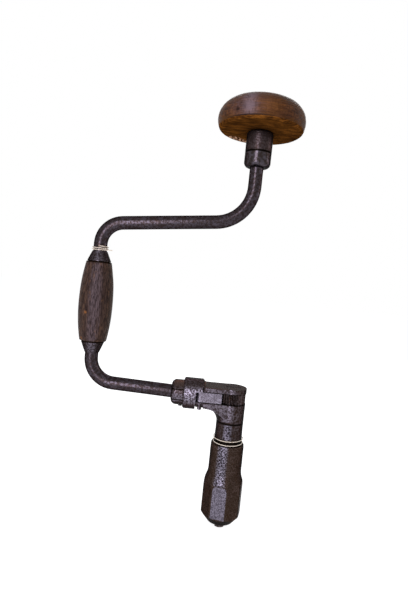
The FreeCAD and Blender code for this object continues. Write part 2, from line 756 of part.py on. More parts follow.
def spindle_nut():
    hexagon = doc.addObject("Part::Prism", "nut_hexagon")
    hexagon.Polygon = 6
    corner = shank_radius - cell("washer_inset") - cell("nut_inset")
    bind(hexagon, Circumradius=corner, Height=cell("nut_height"))
    place(hexagon, z=nut_bottom)
    bore = rod_solid("nut_bore", spindle_radius + cell("seat_clearance"), cell("nut_height"), z=nut_bottom)
    return without("spindle_nut", hexagon, [bore])


# Grip

def wooden_grip():
    bore = rod_radius + cell("grip_play")
    length = cell("grip_length")
    girth = cell("grip_diameter") / 2
    top = cell("grip_top_diameter") / 2
    bottom = cell("grip_bottom_diameter") / 2
    edge = cell("grip_edge")
    middle = cell("grip_girth_height")
    lower = sweep_radius(middle - edge, girth - bottom)
    upper = sweep_radius(length - edge - middle, girth - top)
    body = turned("wooden_grip", (
        (bore, 0), (bottom - edge, 0), (bottom, edge), (girth, middle),
        (top, length - edge), (top - edge, length), (bore, length)),
        {2: (lower, 1), 3: (upper, 1)})
    return place(body, x=-cell("crank_throw"), z=grip_bottom)


def grip_collar(name, base, wall, length, z, sign):
    """A cone with a straight band against the wood, pointing up for sign 1 and down for -1."""
    bore = rod_radius + cell("seat_clearance")
    end = bore + wall
    body = turned(name, (
        (bore, 0), (base, 0), (base, cell("grip_collar_band") * sign),
        (end, length * sign), (bore, length * sign)))
    return place(body, x=-cell("crank_throw"), z=z)


def grip_top_collar():
    base = cell("grip_top_diameter") / 2 - cell("top_collar_inset")
    return grip_collar("grip_top_collar", base, cell("top_collar_wall"),
                       cell("top_collar_length"), top_collar_base, 1)


def grip_bottom_collar():
    base = cell("grip_bottom_diameter") / 2 - cell("bottom_collar_inset")
    return grip_collar("grip_bottom_collar", base, cell("bottom_collar_wall"),
                       cell("bottom_collar_length"), bottom_collar_base, -1)


def grip_tie_wire():
    """Two turns round the rod above the upper collar, with a loose end in front on the right."""
    diameter = cell("grip_wire_diameter").number
    radius = rod_radius.number + diameter / 2 + cell("neck_wire_gap").number
    low = top_collar_end.number + diameter / 2 + cell("grip_wire_lift").number
    pitch = cell("grip_wire_pitch").number
    axis = -cell("crank_throw").number

    def route(turns):
        angle = -math.pi / 2 - 2 * math.pi * turns
        rise = pitch * turns
        return FreeCAD.Vector(axis + radius * math.cos(angle), radius * math.sin(angle), low + rise)

    turns = 2
    tube, path = winding(route, turns, diameter, cell("grip_wire_tail").number + radius)
    print("grip tie wire: least gap to itself %.2f mm" % least_gap(path, diameter, turns + 1))
    return wound_feature("grip_tie_wire", tube)


# Ratchet box

def arm_block():
    """Square part of the arm with its long edges rounded."""
    half_width = arm_half_width
    rise = cell("arm_rise")
    drop = -cell("arm_drop")
    edge = cell("arm_edge")
    body = extruded("arm_block", "YZ_Plane", arm_shoulder, (
        (half_width - edge, drop), (half_width, drop + edge),
        (half_width, rise - edge), (half_width - edge, rise),
        (edge - half_width, rise), (-half_width, rise - edge),
        (-half_width, drop + edge), (edge - half_width, drop)),
        {0: (edge, 1), 2: (edge, 1), 4: (edge, 1), 6: (edge, 1)})
    return place(body, x=-arm_shoulder, z=arm_height)


def journal():
    """Round part with the rounded crank-side end and the shoulder behind the ring, lying along X."""
    radius = cell("journal_radius")
    rounding = cell("journal_rounding")
    shoulder = cell("ring_shoulder_radius")
    start = -journal_end
    step = -pocket_end
    end = -arm_shoulder + cell("arm_edge")
    body = turned("journal", (
        (start, 0), (start, radius - rounding), (start + rounding, radius), (step, radius), (step, shoulder),
        (end, shoulder), (end, 0)),
        {1: (rounding, -1)}, axis="H_Axis")
    return place(body, z=arm_height)


def neck_hollow():
    """The rolled hollow that carries the arm into the neck."""
    radius = cell("socket_collar_radius")
    roll = cell("neck_hollow_radius")
    depth = cell("neck_length") - cell("neck_straight")
    low = arm_bottom - depth
    reach = radius + root(roll * roll - (roll - depth) * (roll - depth))
    flare = turned("neck_flare", (
        (0, low), (radius, low), (reach, arm_bottom),
        (reach, arm_bottom + cell("arm_edge")), (0, arm_bottom + cell("arm_edge"))),
        {1: (roll, -1)})
    limit = block("neck_flare_limit", (-reach, -arm_half_width, low),
                  (reach, arm_half_width * 2, depth + cell("arm_edge")))
    return shared("neck_hollow", [flare, limit])


def pawl_pocket(name, side):
    """Room for one pawl: open outwards, with a round end about its pin."""
    heel = rod_solid(name + "_heel", pocket_radius, cell("slot_height"),
                     x=-pawl_pivot, y=side * pawl_pivot_side, z=slot_bottom)
    depth = ring_radius - pocket_floor
    near = pocket_floor if side > 0 else -ring_radius
    bar = block(name + "_bar", (-pawl_pivot, near, slot_bottom), (pawl_pivot, depth, cell("slot_height")))
    mouth_low = pawl_pivot_side if side > 0 else -ring_radius
    mouth = block(name + "_mouth", (-pocket_end, mouth_low, slot_bottom),
                  (pocket_end, ring_radius - pawl_pivot_side, cell("slot_height")))
    return [heel, bar, mouth]


def ratchet_box():
    seat = cell("seat_clearance")
    run = cell("running_clearance")
    neck = rod_solid("neck", cell("socket_collar_radius"), cell("neck_length") + cell("arm_edge"), z=neck_bottom)
    head = rod_solid("box_head", cell("wheel_tip_radius") + cell("box_head_wall"), arm_top - arm_bottom,
                     z=arm_bottom)
    solid = joined("box_solid", [neck, head, arm_block(), journal(), neck_hollow()])
    wheel_room = rod_solid("wheel_room", cell("wheel_tip_radius") + cell("wheel_play"), cell("slot_height"),
                           z=slot_bottom)
    spring_hole = rod_solid("spring_hole", cell("spring_diameter") / 2 + cell("face_gap"),
                            pawl_pivot_side * 2, x=-spring_place, y=-pawl_pivot_side,
                            z=arm_height, along=ALONG_Y)
    socket_depth = cell("rod_socket_depth") + cell("face_gap") * 2
    rod_socket = rod_solid("rod_socket", rod_radius + cell("face_gap"), socket_depth,
                           x=-journal_end, z=arm_height, along=ALONG_X)
    tenon_room = tenon_end - cell("face_gap")
    tenon_bore = rod_solid("tenon_bore", tenon_radius + seat, journal_end - tenon_room,
                           x=-journal_end, z=arm_height, along=ALONG_X)
    main_bore = rod_solid("main_bore", cell("main_journal_radius") + run, slot_bottom - neck_bottom,
                          z=neck_bottom)
    upper_bore = rod_solid("upper_bore", cell("upper_journal_diameter") / 2 + run, arm_top - slot_top, z=slot_top)
    head_room = rod_solid("screw_head_room", cell("screw_head_diameter") / 2 + cell("face_gap"),
                          arm_top - screw_seat, z=screw_seat)
    pin_reach = cell("journal_radius") + cell("frame_pin_proud")
    frame_pin_hole = rod_solid("box_frame_pin_hole", cell("frame_pin_diameter") / 2 + seat, pin_reach * 2,
                               x=-frame_pin_place, z=arm_height - pin_reach)
    cuts = [wheel_room, spring_hole, rod_socket, tenon_bore, main_bore, upper_bore, head_room, frame_pin_hole]
    for name, side in (("front", -1), ("rear", 1)):
        cuts.extend(pawl_pocket(name + "_pocket", side))
        cuts.append(rod_solid(name + "_pin_hole", cell("pawl_pin_diameter") / 2 + seat,
                              arm_top - cell("pawl_pin_depth") - arm_bottom + cell("arm_drop"),
                              x=-pawl_pivot, y=side * pawl_pivot_side,
                              z=arm_bottom - cell("arm_drop")))
    return without("ratchet_box", solid, cuts)


def frame_pin():
    length = cell("journal_radius") * 2 + cell("frame_pin_proud") - cell("face_gap")
    return rod_solid("frame_pin", cell("frame_pin_diameter") / 2, length, x=-frame_pin_place,
                     z=arm_height - cell("journal_radius") - cell("frame_pin_proud"))


def pawl_pins():
    bottom = arm_bottom - cell("pawl_pin_proud")
    length = arm_top - cell("pawl_pin_depth") - cell("face_gap") - bottom
    radius = cell("pawl_pin_diameter") / 2
    rounding = cell("pawl_pin_rounding")
    pins = []
    for name, side in (("front", -1), ("rear", 1)):
        pin = turned(name + "_pawl_pin", (
            (0, 0), (radius - rounding, 0), (radius, rounding), (radius, length), (0, length)),
            {1: (rounding, 1)})
        pins.append(place(pin, x=-pawl_pivot, y=side * pawl_pivot_side, z=bottom))
    group = doc.addObject("Part::Compound", "pawl_pins")
    group.Links = pins
    return group


def pawl(name, side):
    """A flat bar with a round heel, seen from above. Its far corner stands in a tooth gap."""
    heel = cell("pawl_heel_radius")
    pivot = -pawl_pivot
    outer = pawl_outer * side
    inner = pawl_inner * side
    heel_side = (pawl_pivot_side - heel) * side
    body = extruded(name, "XY_Plane", pawl_height, (
        (pivot, outer), (pivot - heel, pawl_pivot_side * side), (pivot, heel_side),
        (pivot + cell("pawl_taper_length"), inner), (-pawl_end, inner),
        (-pawl_end - cell("pawl_bevel"), outer)),
        {0: (heel, side), 1: (heel, side)},
        [(pivot, pawl_pivot_side * side, cell("pawl_pin_diameter") / 2 + cell("running_clearance"))])
    return place(body, z=arm_height - pawl_height / 2)


def pawl_spring():
    """Coil between the two pawl heels, in the cross hole of the journal."""
    wire = cell("spring_wire").number
    radius = (cell("spring_diameter").number - wire) / 2
    turns = int(cell("spring_turns").number)
    heel_side = pawl_pivot_side.number - cell("pawl_heel_radius").number
    reach = heel_side - cell("face_gap").number - wire / 2
    pitch = 2 * reach / turns
    x = -spring_place.number
    z = arm_height.number

    def route(number):
        angle = 2 * math.pi * number
        return FreeCAD.Vector(x + radius * math.cos(angle), pitch * number - reach, z + radius * math.sin(angle))

    tube, path = winding(route, turns, wire)
    print("pawl spring: least gap to itself %.2f mm" % least_gap(path, wire, turns))
    return wound_feature("pawl_spring", tube)


def cam_ring():
    """Ring on the journal whose tab reaches over the pawl heels."""
    radius = ring_radius
    edge = cell("ring_edge")
    bore = cell("journal_radius") + cell("running_clearance")
    start, step, end = -ring_start, -ring_step, -ring_end
    body = turned("ring_blank", (
        (start, bore), (start, radius - edge), (start + edge, radius), (end - edge, radius),
        (end, radius - edge), (end, ring_tab_inside), (step, ring_tab_inside), (step, bore)), axis="H_Axis")
    place(body, z=arm_height)
    reach = radius + edge
    lower = block("ring_cut", (step, -reach, arm_height - reach),
                  (end - step + edge, reach * 2, reach + cell("ring_tab_rise")))
    return without("cam_ring", body, [lower])


# Chuck

def cross_pin(name, radius, length):
    """A pin across the axis through two opposite tooth gaps of the wheel."""
    body = doc.addObject("PartDesign::Body", name)
    sketch = new_sketch(body, name + "_section", "YZ_Plane")
    sketch.setExpression("AttachmentOffset.Base.z", (-(length / 2)).text)
    add_circle(sketch, 0, wheel_pin_height, radius)
    pad = body.newObject("PartDesign::Pad", name + "_pad")
    pad.Profile = sketch
    bind(pad, Length=length)
    body.setExpression("Placement.Rotation.Angle", (180 / cell("tooth_count")).text)
    return body


def ratchet_wheel():
    """Disc with one tooth gap cut out and repeated round the axis."""
    tip = cell("wheel_tip_radius")
    pitch = 360 / cell("tooth_count")
    land = cell("tooth_land") / 2
    body = doc.addObject("PartDesign::Body", "wheel_blank")
    disc = new_sketch(body, "wheel_disc", "XY_Plane")
    add_circle(disc, 0, 0, tip)
    add_circle(disc, 0, 0, cell("wheel_seat_radius") + cell("seat_clearance"))
    pad = body.newObject("PartDesign::Pad", "wheel_pad")
    pad.Profile = disc
    bind(pad, Length=wheel_top - wheel_bottom)
    gap = new_sketch(body, "tooth_gap", "XY_Plane")
    flank = pitch / 2 - land
    over = tip + cell("tooth_depth")
    middle = pitch / 2
    spread = over - tip
    add_outline(gap, (
        (tooth_root_radius * cosine(middle - land), tooth_root_radius * sine(middle - land)),
        (tip * cosine(middle - flank), tip * sine(middle - flank)),
        (tip * cosine(middle - flank) + spread, tip * sine(middle - flank)),
        (tip * cosine(middle + flank) + spread, tip * sine(middle + flank)),
        (tip * cosine(middle + flank), tip * sine(middle + flank)),
        (tooth_root_radius * cosine(middle + land), tooth_root_radius * sine(middle + land))))
    cut = body.newObject("PartDesign::Pocket", "tooth_cut")
    cut.Profile = gap
    cut.Type = "ThroughAll"
    cut.Midplane = True
    pattern = body.newObject("PartDesign::PolarPattern", "teeth")
    pattern.Originals = [cut]
    pattern.Axis = (gap, ["N_Axis"])
    pattern.Angle = 360
    bind(pattern, Occurrences=cell("tooth_count"))
    body.Tip = pattern
    place(body, z=wheel_bottom)
    hole = cross_pin("wheel_pin_hole", cell("wheel_pin_diameter") / 2 + cell("seat_clearance"), tip * 2)
    return without("ratchet_wheel", body, [hole])


def chuck_spindle():
    """One piece: upper journal, wheel seat, journal in the neck, flared collar and slotted screw."""
    low = screw_low
    upper = cell("upper_journal_diameter") / 2
    blank = turned("spindle_blank", (
        (0, low), (cell("screw_thread_radius"), low),
        (cell("screw_thread_radius"), skirt_bottom),
        (skirt_radius, skirt_bottom),
        (skirt_radius, skirt_top),
        (cell("socket_collar_radius"), straight_bottom),
        (cell("socket_collar_radius"), collar_face),
        (cell("main_journal_radius"), collar_face),
        (cell("main_journal_radius"), wheel_bottom),
        (cell("wheel_seat_radius"), wheel_bottom),
        (cell("wheel_seat_radius"), wheel_top),
        (upper, wheel_top), (upper, spindle_face), (0, spindle_face)))
    slot_width = cell("jaw_thickness") + cell("jaw_slot_play") * 2
    reach = cell("screw_thread_radius") * 2
    slot = block("jaw_slot", (-slot_width / 2, -reach / 2, low), (slot_width, reach, slot_roof - low))
    socket = tang_prism("tang_socket", cell("tang_socket_width"), slot_roof, cell("tang_socket_depth"))
    hole_end = screw_end - cell("face_gap")
    screw_hole = rod_solid("spindle_screw_hole", cell("screw_shank_diameter") / 2 + cell("seat_clearance"),
                           spindle_face - hole_end, z=hole_end)
    pin_hole = cross_pin("spindle_pin_hole", cell("wheel_pin_diameter") / 2 + cell("seat_clearance"),
                         cell("main_journal_radius") * 2)
    return without("chuck_spindle", blank, [slot, socket, screw_hole, pin_hole])


def tang_prism(name, width, z, height):
    """A square prism on the main axis with its corners on X and Y."""
    item = doc.addObject("Part::Prism", name)
    item.Polygon = 4
    bind(item, Circumradius=width / root(as_size(2)), Height=height)
    return place(item, z=z)


def wheel_pin():
    return cross_pin("wheel_pin", cell("wheel_pin_diameter") / 2, (tooth_root_radius - cell("face_gap")) * 2)


def spindle_screw():
    """Flush slotted screw that holds the spindle up in the upper ear."""
    head = rod_solid("screw_head", cell("screw_head_diameter") / 2, arm_top - spindle_face, z=spindle_face)
    shank = rod_solid("screw_shank", cell("screw_shank_diameter") / 2, spindle_face - screw_end, z=screw_end)
    slot = block("driver_slot", (-cell("screw_head_diameter") / 2, -cell("screw_slot_width") / 2,
                                 arm_top - cell("screw_slot_depth")),
                 (cell("screw_head_diameter"), cell("screw_slot_width"), cell("screw_slot_depth")))
    return without("spindle_screw", joined("screw_solid", [head, shank]), [slot])


def jaw(name, side):
    """Half-round jaw that tapers to its tip, with a notch for the square tang."""
    taper = cone_solid(name + "_taper", cell("jaw_tip_radius"), jaw_radius, cell("jaw_taper_length"))
    straight = rod_solid(name + "_body", jaw_radius, cell("jaw_length") - cell("jaw_taper_length"),
                         z=cell("jaw_taper_length"))
    blank = joined(name + "_blank", [taper, straight])
    thick = cell("jaw_thickness")
    reach = jaw_radius
    tip_side = cell("jaw_gap") / 2
    heel_side = cell("jaw_heel_gap") / 2
    low = tip_side if side > 0 else -reach
    front = block(name + "_front", (-thick / 2, low, 0), (thick, reach - tip_side, cell("jaw_heel_height")))
    heel_low = heel_side if side > 0 else -reach
    heel = block(name + "_heel", (-thick / 2, heel_low, cell("jaw_heel_height")),
                 (thick, reach - heel_side, cell("jaw_length") - cell("jaw_heel_height")))
    plate = joined(name + "_plate", [front, heel])
    notch = tang_prism(name + "_notch", cell("jaw_notch"), 0, cell("jaw_heel_height"))
    return without(name, shared(name + "_round", [blank, plate]), [notch])


def jaw_spring():
    """Bent leaf that stands between the jaws and opens them."""
    outer = cell("jaw_heel_gap") / 2 - cell("face_gap")
    inner = outer - cell("jaw_spring_thickness")
    length = cell("jaw_spring_length")
    body = extruded("jaw_spring", "YZ_Plane", cell("jaw_spring_width"), (
        (-outer, 0), (-inner, 0), (-inner, length - outer), (0, length - outer + inner),
        (inner, length - outer), (inner, 0), (outer, 0),
        (outer, length - outer), (0, length), (-outer, length - outer)),
        {2: (inner, -1), 3: (inner, -1), 7: (outer, 1), 8: (outer, 1)}, midplane=True)
    return place(body, z=cell("jaw_length") - length - cell("face_gap"))


def thrust_ring():
    """Ring in the nose of the shell that presses the jaws together."""
    bottom = ring_seat
    top = bottom + cell("thrust_ring_height")
    outer = jaw_room_radius - cell("running_clearance")
    bore = jaw_radius + cell("jaw_room")
    lead = cell("thrust_ring_height") / 2
    return turned("thrust_ring", (
        (nose_throat, bottom), (outer, bottom), (outer, top), (bore, top), (bore, bottom + lead)))


def chuck_shell():
    """Turned sleeve, cut to eight flats low down, with the jaw room and the nose inside."""
    upper = shell_upper_radius
    lower = shell_lower_radius
    edge = cell("shell_edge")
    rise = lower - upper
    run = cell("shell_flare_length") / 2
    bend = (rise * rise / 4 + run * run) / rise
    thread = cell("screw_thread_radius") + cell("running_clearance")
    seat = ring_seat - cell("seat_clearance")
    blank = turned("shell_blank", (
        (nose_mouth, cell("nose_lip_height")),
        (nose_mouth + cell("nose_lip_wall"), cell("nose_lip_height")),
        (nose_throat + cell("nose_wall"), nose_knee),
        (lower, cone_end),
        (lower, flare_bottom),
        (lower - rise / 2, flare_bottom + run),
        (upper, flare_top),
        (upper, shell_top - edge),
        (upper - edge, shell_top),
        (collar_room, shell_top),
        (collar_room, thread_top),
        (thread, thread_top),
        (thread, jaw_room_top),
        (jaw_room_radius, jaw_room_top),
        (jaw_room_radius, seat),
        (nose_throat, seat)),
        {4: (bend, 1), 5: (bend, -1), 7: (edge, 1)})
    octagon = doc.addObject("Part::Prism", "shell_octagon")
    octagon.Polygon = 8
    corner = shell_flat_radius / cosine(22.5)
    bind(octagon, Circumradius=corner, Height=flare_top)
    octagon.setExpression("Placement.Rotation.Angle", (cell("shell_flat_turn") * -1 + 22.5).text)
    sleeve_low = flare_top - cell("face_gap")
    above = rod_solid("shell_above_flats", shell_upper_radius * 2, shell_top - sleeve_low, z=sleeve_low)
    keep = joined("shell_keep", [octagon, above])
    return shared("chuck_shell", [blank, keep])


def neck_tie_wire():
    """Two turns round the neck that climb from one to the other at the back."""
    diameter = cell("neck_wire_diameter").number
    play = cell("neck_wire_gap").number
    radius = skirt_radius.number + diameter / 2 + play
    low = shell_top.number + diameter / 2 + play
    pitch = cell("neck_wire_pitch").number
    lean = cell("neck_wire_lean").number
    rise = cell("neck_wire_rise").number

    def route(turns):
        angle = math.pi / 2 - 2 * math.pi * turns
        share = min(max((turns - 0.75) / 0.5, 0.0), 1.0)
        climb = pitch * share * share * (3 - 2 * share) + rise * turns
        tilt = lean * (1 + math.cos(angle))
        return FreeCAD.Vector(radius * math.cos(angle), radius * math.sin(angle), low + climb + tilt)

    turns = 2
    tube, path = winding(route, turns, diameter)
    print("neck tie wire: least gap to itself %.2f mm" % least_gap(path, diameter, turns))
    return wound_feature("neck_tie_wire", tube)


NODES = (
    ("sweep_frame", sweep_frame()),
    ("head_bearing_collar", bearing_collar()),
    ("bearing_balls", bearing_balls()),
    ("head_quill", head_quill()),
    ("spindle_washer", spindle_washer()),
    ("spindle_nut", spindle_nut()),
    ("wooden_head", wooden_head()),
    ("wooden_grip", wooden_grip()),
    ("grip_top_collar", grip_top_collar()),
    ("grip_bottom_collar", grip_bottom_collar()),
    ("grip_tie_wire", grip_tie_wire()),
    ("ratchet_box", ratchet_box()),
    ("frame_pin", frame_pin()),
    ("cam_ring", cam_ring()),
    ("front_pawl", pawl("front_pawl", -1)),
    ("rear_pawl", pawl("rear_pawl", 1)),
    ("pawl_pins", pawl_pins()),
    ("pawl_spring", pawl_spring()),
    ("chuck_spindle", chuck_spindle()),
    ("ratchet_wheel", ratchet_wheel()),
    ("wheel_pin", wheel_pin()),
    ("spindle_screw", spindle_screw()),
    ("front_jaw", jaw("front_jaw", -1)),
    ("rear_jaw", jaw("rear_jaw", 1)),
    ("jaw_spring", jaw_spring()),
    ("thrust_ring", thrust_ring()),
    ("chuck_shell", chuck_shell()),
    ("neck_tie_wire", neck_tie_wire()),
)
doc.recompute()

for item in doc.Objects:
    bad = [word for word in item.State if word in ("Invalid", "Error")]
    if bad:
        raise RuntimeError("%s did not build: %s" % (item.Name, bad))

os.makedirs("parts", exist_ok=True)
for name, item in NODES:
    item.Label = name
    shape = item.Shape
    if shape.isNull() or not shape.isValid():
        raise RuntimeError("%s has no sound shape" % name)
    shape.exportStep("parts/%s.step" % name)
    print("%-20s %2d solid(s) %9.1f mm3" % (name, len(shape.Solids), shape.Volume))
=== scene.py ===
"""Looks of the bit brace: finishes for iron, steel and wood, turned head and grip, knurl and tie wires."""

import math
from collections import namedtuple

import bpy
from mathutils import Matrix, Vector, noise


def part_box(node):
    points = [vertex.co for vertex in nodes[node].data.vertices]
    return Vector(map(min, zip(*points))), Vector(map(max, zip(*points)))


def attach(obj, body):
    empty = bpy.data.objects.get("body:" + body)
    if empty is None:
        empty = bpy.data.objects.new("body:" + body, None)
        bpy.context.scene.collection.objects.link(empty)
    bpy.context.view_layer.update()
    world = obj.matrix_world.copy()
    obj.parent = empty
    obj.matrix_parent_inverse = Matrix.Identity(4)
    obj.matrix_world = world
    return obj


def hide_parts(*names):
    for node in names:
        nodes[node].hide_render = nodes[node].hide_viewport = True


MM = 0.001

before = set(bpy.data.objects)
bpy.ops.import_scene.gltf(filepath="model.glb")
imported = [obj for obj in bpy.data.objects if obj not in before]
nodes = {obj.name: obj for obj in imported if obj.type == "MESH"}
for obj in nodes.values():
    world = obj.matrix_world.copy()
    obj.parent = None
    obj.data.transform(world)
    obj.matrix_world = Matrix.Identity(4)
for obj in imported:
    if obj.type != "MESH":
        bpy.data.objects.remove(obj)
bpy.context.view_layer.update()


# Places taken from the frame

grip_low, grip_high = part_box("wooden_grip")
head_low, head_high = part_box("wooden_head")
slot_low, slot_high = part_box("front_pawl")
shell_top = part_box("chuck_shell")[1].z
collar_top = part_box("grip_top_collar")[1].z
head_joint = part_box("head_quill")[0].z
neck_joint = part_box("ratchet_box")[0].z
grip_axis = (grip_low.x + grip_high.x) / 2


# Meshes

WIRE_TIP = 0.6


def new_object(name, vertices, faces, smooth=True):
    mesh = bpy.data.meshes.new(name)
    mesh.from_pydata(vertices, [], faces)
    mesh.validate()
    mesh.update()
    mesh.polygons.foreach_set("use_smooth", [smooth] * len(mesh.polygons))
    piece = bpy.data.objects.new(name, mesh)
    bpy.context.scene.collection.objects.link(piece)
    return piece


def ring_faces(low, high, count):
    """Four-sided faces between two rings of vertices, which begin at low and high."""
    faces = []
    for step in range(count):
        beside = (step + 1) % count
        faces.append((low + step, low + beside, high + beside, high + step))
    return faces


def lathe(name, rings, segments, centre_x=0.0, closed=True):
    """A surface of revolution. Each ring is a function of the angle that gives radius and height."""
    vertices = []
    faces = []
    for ring in rings:
        for step in range(segments):
            angle = math.tau * step / segments
            radius, height = ring(angle)
            vertices.append((centre_x + radius * math.cos(angle), radius * math.sin(angle), height))
    last = len(rings) if closed else len(rings) - 1
    for row in range(last):
        faces += ring_faces(row * segments, (row + 1) % len(rings) * segments, segments)
    return new_object(name, vertices, faces)


def arc_points(start, end, radius, count):
    """Points of a profile's arc after its start, up to its end. It bulges to the right of its way."""
    start = Vector(start)
    end = Vector(end)
    chord = end - start
    middle = (start + end) / 2
    side = Vector((chord.y, -chord.x)).normalized()
    depth = math.sqrt(max(radius * radius - chord.length_squared / 4, 0.0))
    centre = middle - side * depth
    first = math.atan2(start.y - centre.y, start.x - centre.x)
    last = math.atan2(end.y - centre.y, end.x - centre.x)
    turn = (last - first + math.pi) % math.tau - math.pi
    points = []
    for step in range(1, count + 1):
        angle = first + turn * step / count
        points.append((centre.x + radius * math.cos(angle), centre.y + radius * math.sin(angle)))
    return points


def line_points(start, end, count):
    """Points of a profile's straight stretch after its start, up to its end."""
    return [(start[0] + (end[0] - start[0]) * step / count, start[1] + (end[1] - start[1]) * step / count)
            for step in range(1, count + 1)]


def directions(path):
    """The way that a path runs at each of its points."""
    last = len(path) - 1
    return [(path[min(index + 1, last)] - path[max(index - 1, 0)]).normalized() for index in range(last + 1)]


def beside_point(centre, across, up, angle, distance):
    return centre + (across * math.cos(angle) + up * math.sin(angle)) * distance


def tube(name, path, radius, sides):
    """A round wire along a list of points, with closed ends that stand out a little."""
    ways = directions(path)
    across = ways[0].orthogonal().normalized()
    vertices = []
    faces = []
    for index, (point, way) in enumerate(zip(path, ways)):
        across = (across - way * across.dot(way)).normalized()
        up = way.cross(across)
        for step in range(sides):
            vertices.append(beside_point(point, across, up, math.tau * step / sides, radius))
        if index:
            faces += ring_faces((index - 1) * sides, index * sides, sides)
    for end, way, order in ((0, -ways[0], 1), (len(path) - 1, ways[-1], -1)):
        tip = len(vertices)
        vertices.append(path[end] + way * radius * WIRE_TIP)
        low = end * sides
        for step in range(sides):
            beside = (step + 1) % sides
            faces.append((low + beside, low + step, tip)[::order])
    return new_object(name, vertices, faces)


def smooth_step(low, high, value):
    share = min(max((value - low) / (high - low), 0.0), 1.0)
    return share * share * (3 - 2 * share)


# Finishes

# Painted highlight on metal: a mottled bright band, by its way, the shares along it where it starts and is
# whole, its heights and its dull and bright colours
PaintedHighlight = namedtuple("PaintedHighlight", "way least most low high dull bright")

SOCKETS = {
    "colour": "Base Color",
    "rough": "Roughness",
    "metal": "Metallic",
    "gloss": "Specular IOR Level",
    "edge": "Specular Tint",
}

# Numbers of the sockets of a colour mix that share their names with others
MIX_COLOURS = (6, 7)
MIX_RESULT = 2


def opaque(value):
    """A colour with its alpha, where it is given in numbers."""
    return value + (1.0,) if isinstance(value, tuple) else value


class Finish:
    """A material whose node tree is built by short calls. Lengths are in millimetres."""

    def __init__(self, name):
        self.material = bpy.data.materials.new(name)
        self.material.use_nodes = True
        self.tree = self.material.node_tree
        self.shader = self.tree.nodes["Principled BSDF"]
        self.place = self.node("ShaderNodeTexCoord").outputs["Object"]

    def node(self, kind, *inputs, **settings):
        """A new node. Each input is a socket's number or name, and what it gets."""
        made = self.tree.nodes.new(kind)
        for key, value in settings.items():
            setattr(made, key, value)
        for socket, value in inputs:
            self.join(value, made.inputs[socket])
        return made

    def join(self, value, socket):
        if isinstance(value, bpy.types.NodeSocket):
            self.tree.links.new(value, socket)
        else:
            socket.default_value = value

    def moved(self, stretch=(1, 1, 1), shift=(0, 0, 0)):
        """The place, with lengths along each axis divided by stretch."""
        scale = tuple(1 / factor for factor in stretch)
        return self.node("ShaderNodeMapping", ("Vector", self.place), ("Location", shift),
                         ("Scale", scale)).outputs["Vector"]

    def grain(self, size, detail=3.0, rough=0.6, place=None, twist=0.0):
        return self.node("ShaderNodeTexNoise", ("Vector", place or self.place), ("Scale", 1 / (size * MM)),
                         ("Detail", detail), ("Roughness", rough), ("Distortion", twist)).outputs["Fac"]

    def fit(self, value, low=0.0, high=1.0, to_low=0.0, to_high=1.0):
        """value from low to high, carried to another range and held there, with soft ends."""
        return self.node("ShaderNodeMapRange", ("Value", value), ("From Min", low), ("From Max", high),
                         ("To Min", to_low), ("To Max", to_high),
                         interpolation_type="SMOOTHSTEP").outputs["Result"]

    def calc(self, operation, a, b=0.0):
        return self.node("ShaderNodeMath", (0, a), (1, b), operation=operation).outputs["Value"]

    def both(self, a, b):
        """Two shares multiplied, so 1 only where both are."""
        return self.calc("MULTIPLY", a, b)

    def blend(self, share, a, b):
        """Colour a where share is 0, and colour b where it is 1."""
        inputs = zip(MIX_COLOURS, (opaque(a), opaque(b)))
        return self.node("ShaderNodeMix", ("Factor", share), *inputs, data_type="RGBA").outputs[MIX_RESULT]

    def lay(self, colour, *layers):
        """Tints laid over a colour in turn. Each layer is where it lies, its strength and its tint."""
        for share, strength, tint in layers:
            colour = self.blend(self.both(share, strength), colour, tint)
        return colour

    def height(self):
        return self.node("ShaderNodeSeparateXYZ", ("Vector", self.place)).outputs["Z"]

    def near(self, point, reach):
        """1 at a point in millimetres, falling to 0 at a distance of reach."""
        point = tuple(value * MM for value in point)
        away = self.node("ShaderNodeVectorMath", (0, self.place), (1, point), operation="DISTANCE")
        return self.fit(away.outputs["Value"], 0.0, reach * MM, to_low=1.0, to_high=0.0)

    def band(self, low, high, soft=0.5):
        """1 between two heights in metres, falling to 0 over a soft edge in millimetres."""
        height = self.height()
        rising = self.fit(height, low - soft * MM, low)
        falling = self.fit(height, high, high + soft * MM, to_low=1.0, to_high=0.0)
        return self.both(rising, falling)

    def along(self, direction, way, least, most):
        """How far a direction lies along a way: 0 up to a share of least, 1 from a share of most."""
        share = self.node("ShaderNodeVectorMath", (0, direction), (1, way), operation="DOT_PRODUCT")
        return self.fit(share.outputs["Value"], least, most)

    def facing(self, way, least, most):
        """1 where the surface faces a way fixed on the piece, 0 elsewhere."""
        return self.along(self.node("ShaderNodeTexCoord").outputs["Normal"], way, least, most)

    def toward(self, way, least, most):
        """1 where the place lies a way from the main axis, 0 elsewhere."""
        flat = self.node("ShaderNodeVectorMath", (0, self.place), (1, (1.0, 1.0, 0.0)), operation="MULTIPLY")
        away = self.node("ShaderNodeVectorMath", (0, flat.outputs["Vector"]), operation="NORMALIZE")
        return self.along(away.outputs["Vector"], way, least, most)

    def relief(self, *layers):
        """Bump layers, each a height and its depth in millimetres, on the shader's normal."""
        normal = None
        for height, depth in layers:
            made = self.node("ShaderNodeBump", ("Height", height), ("Strength", 1.0),
                             ("Distance", depth * MM))
            if normal is not None:
                self.join(normal, made.inputs["Normal"])
            normal = made.outputs["Normal"]
        self.join(normal, self.shader.inputs["Normal"])

    def shade(self, **sockets):
        for key, value in sockets.items():
            self.join(opaque(value), self.shader.inputs[SOCKETS[key]])
        return self.material


# Iron and steel

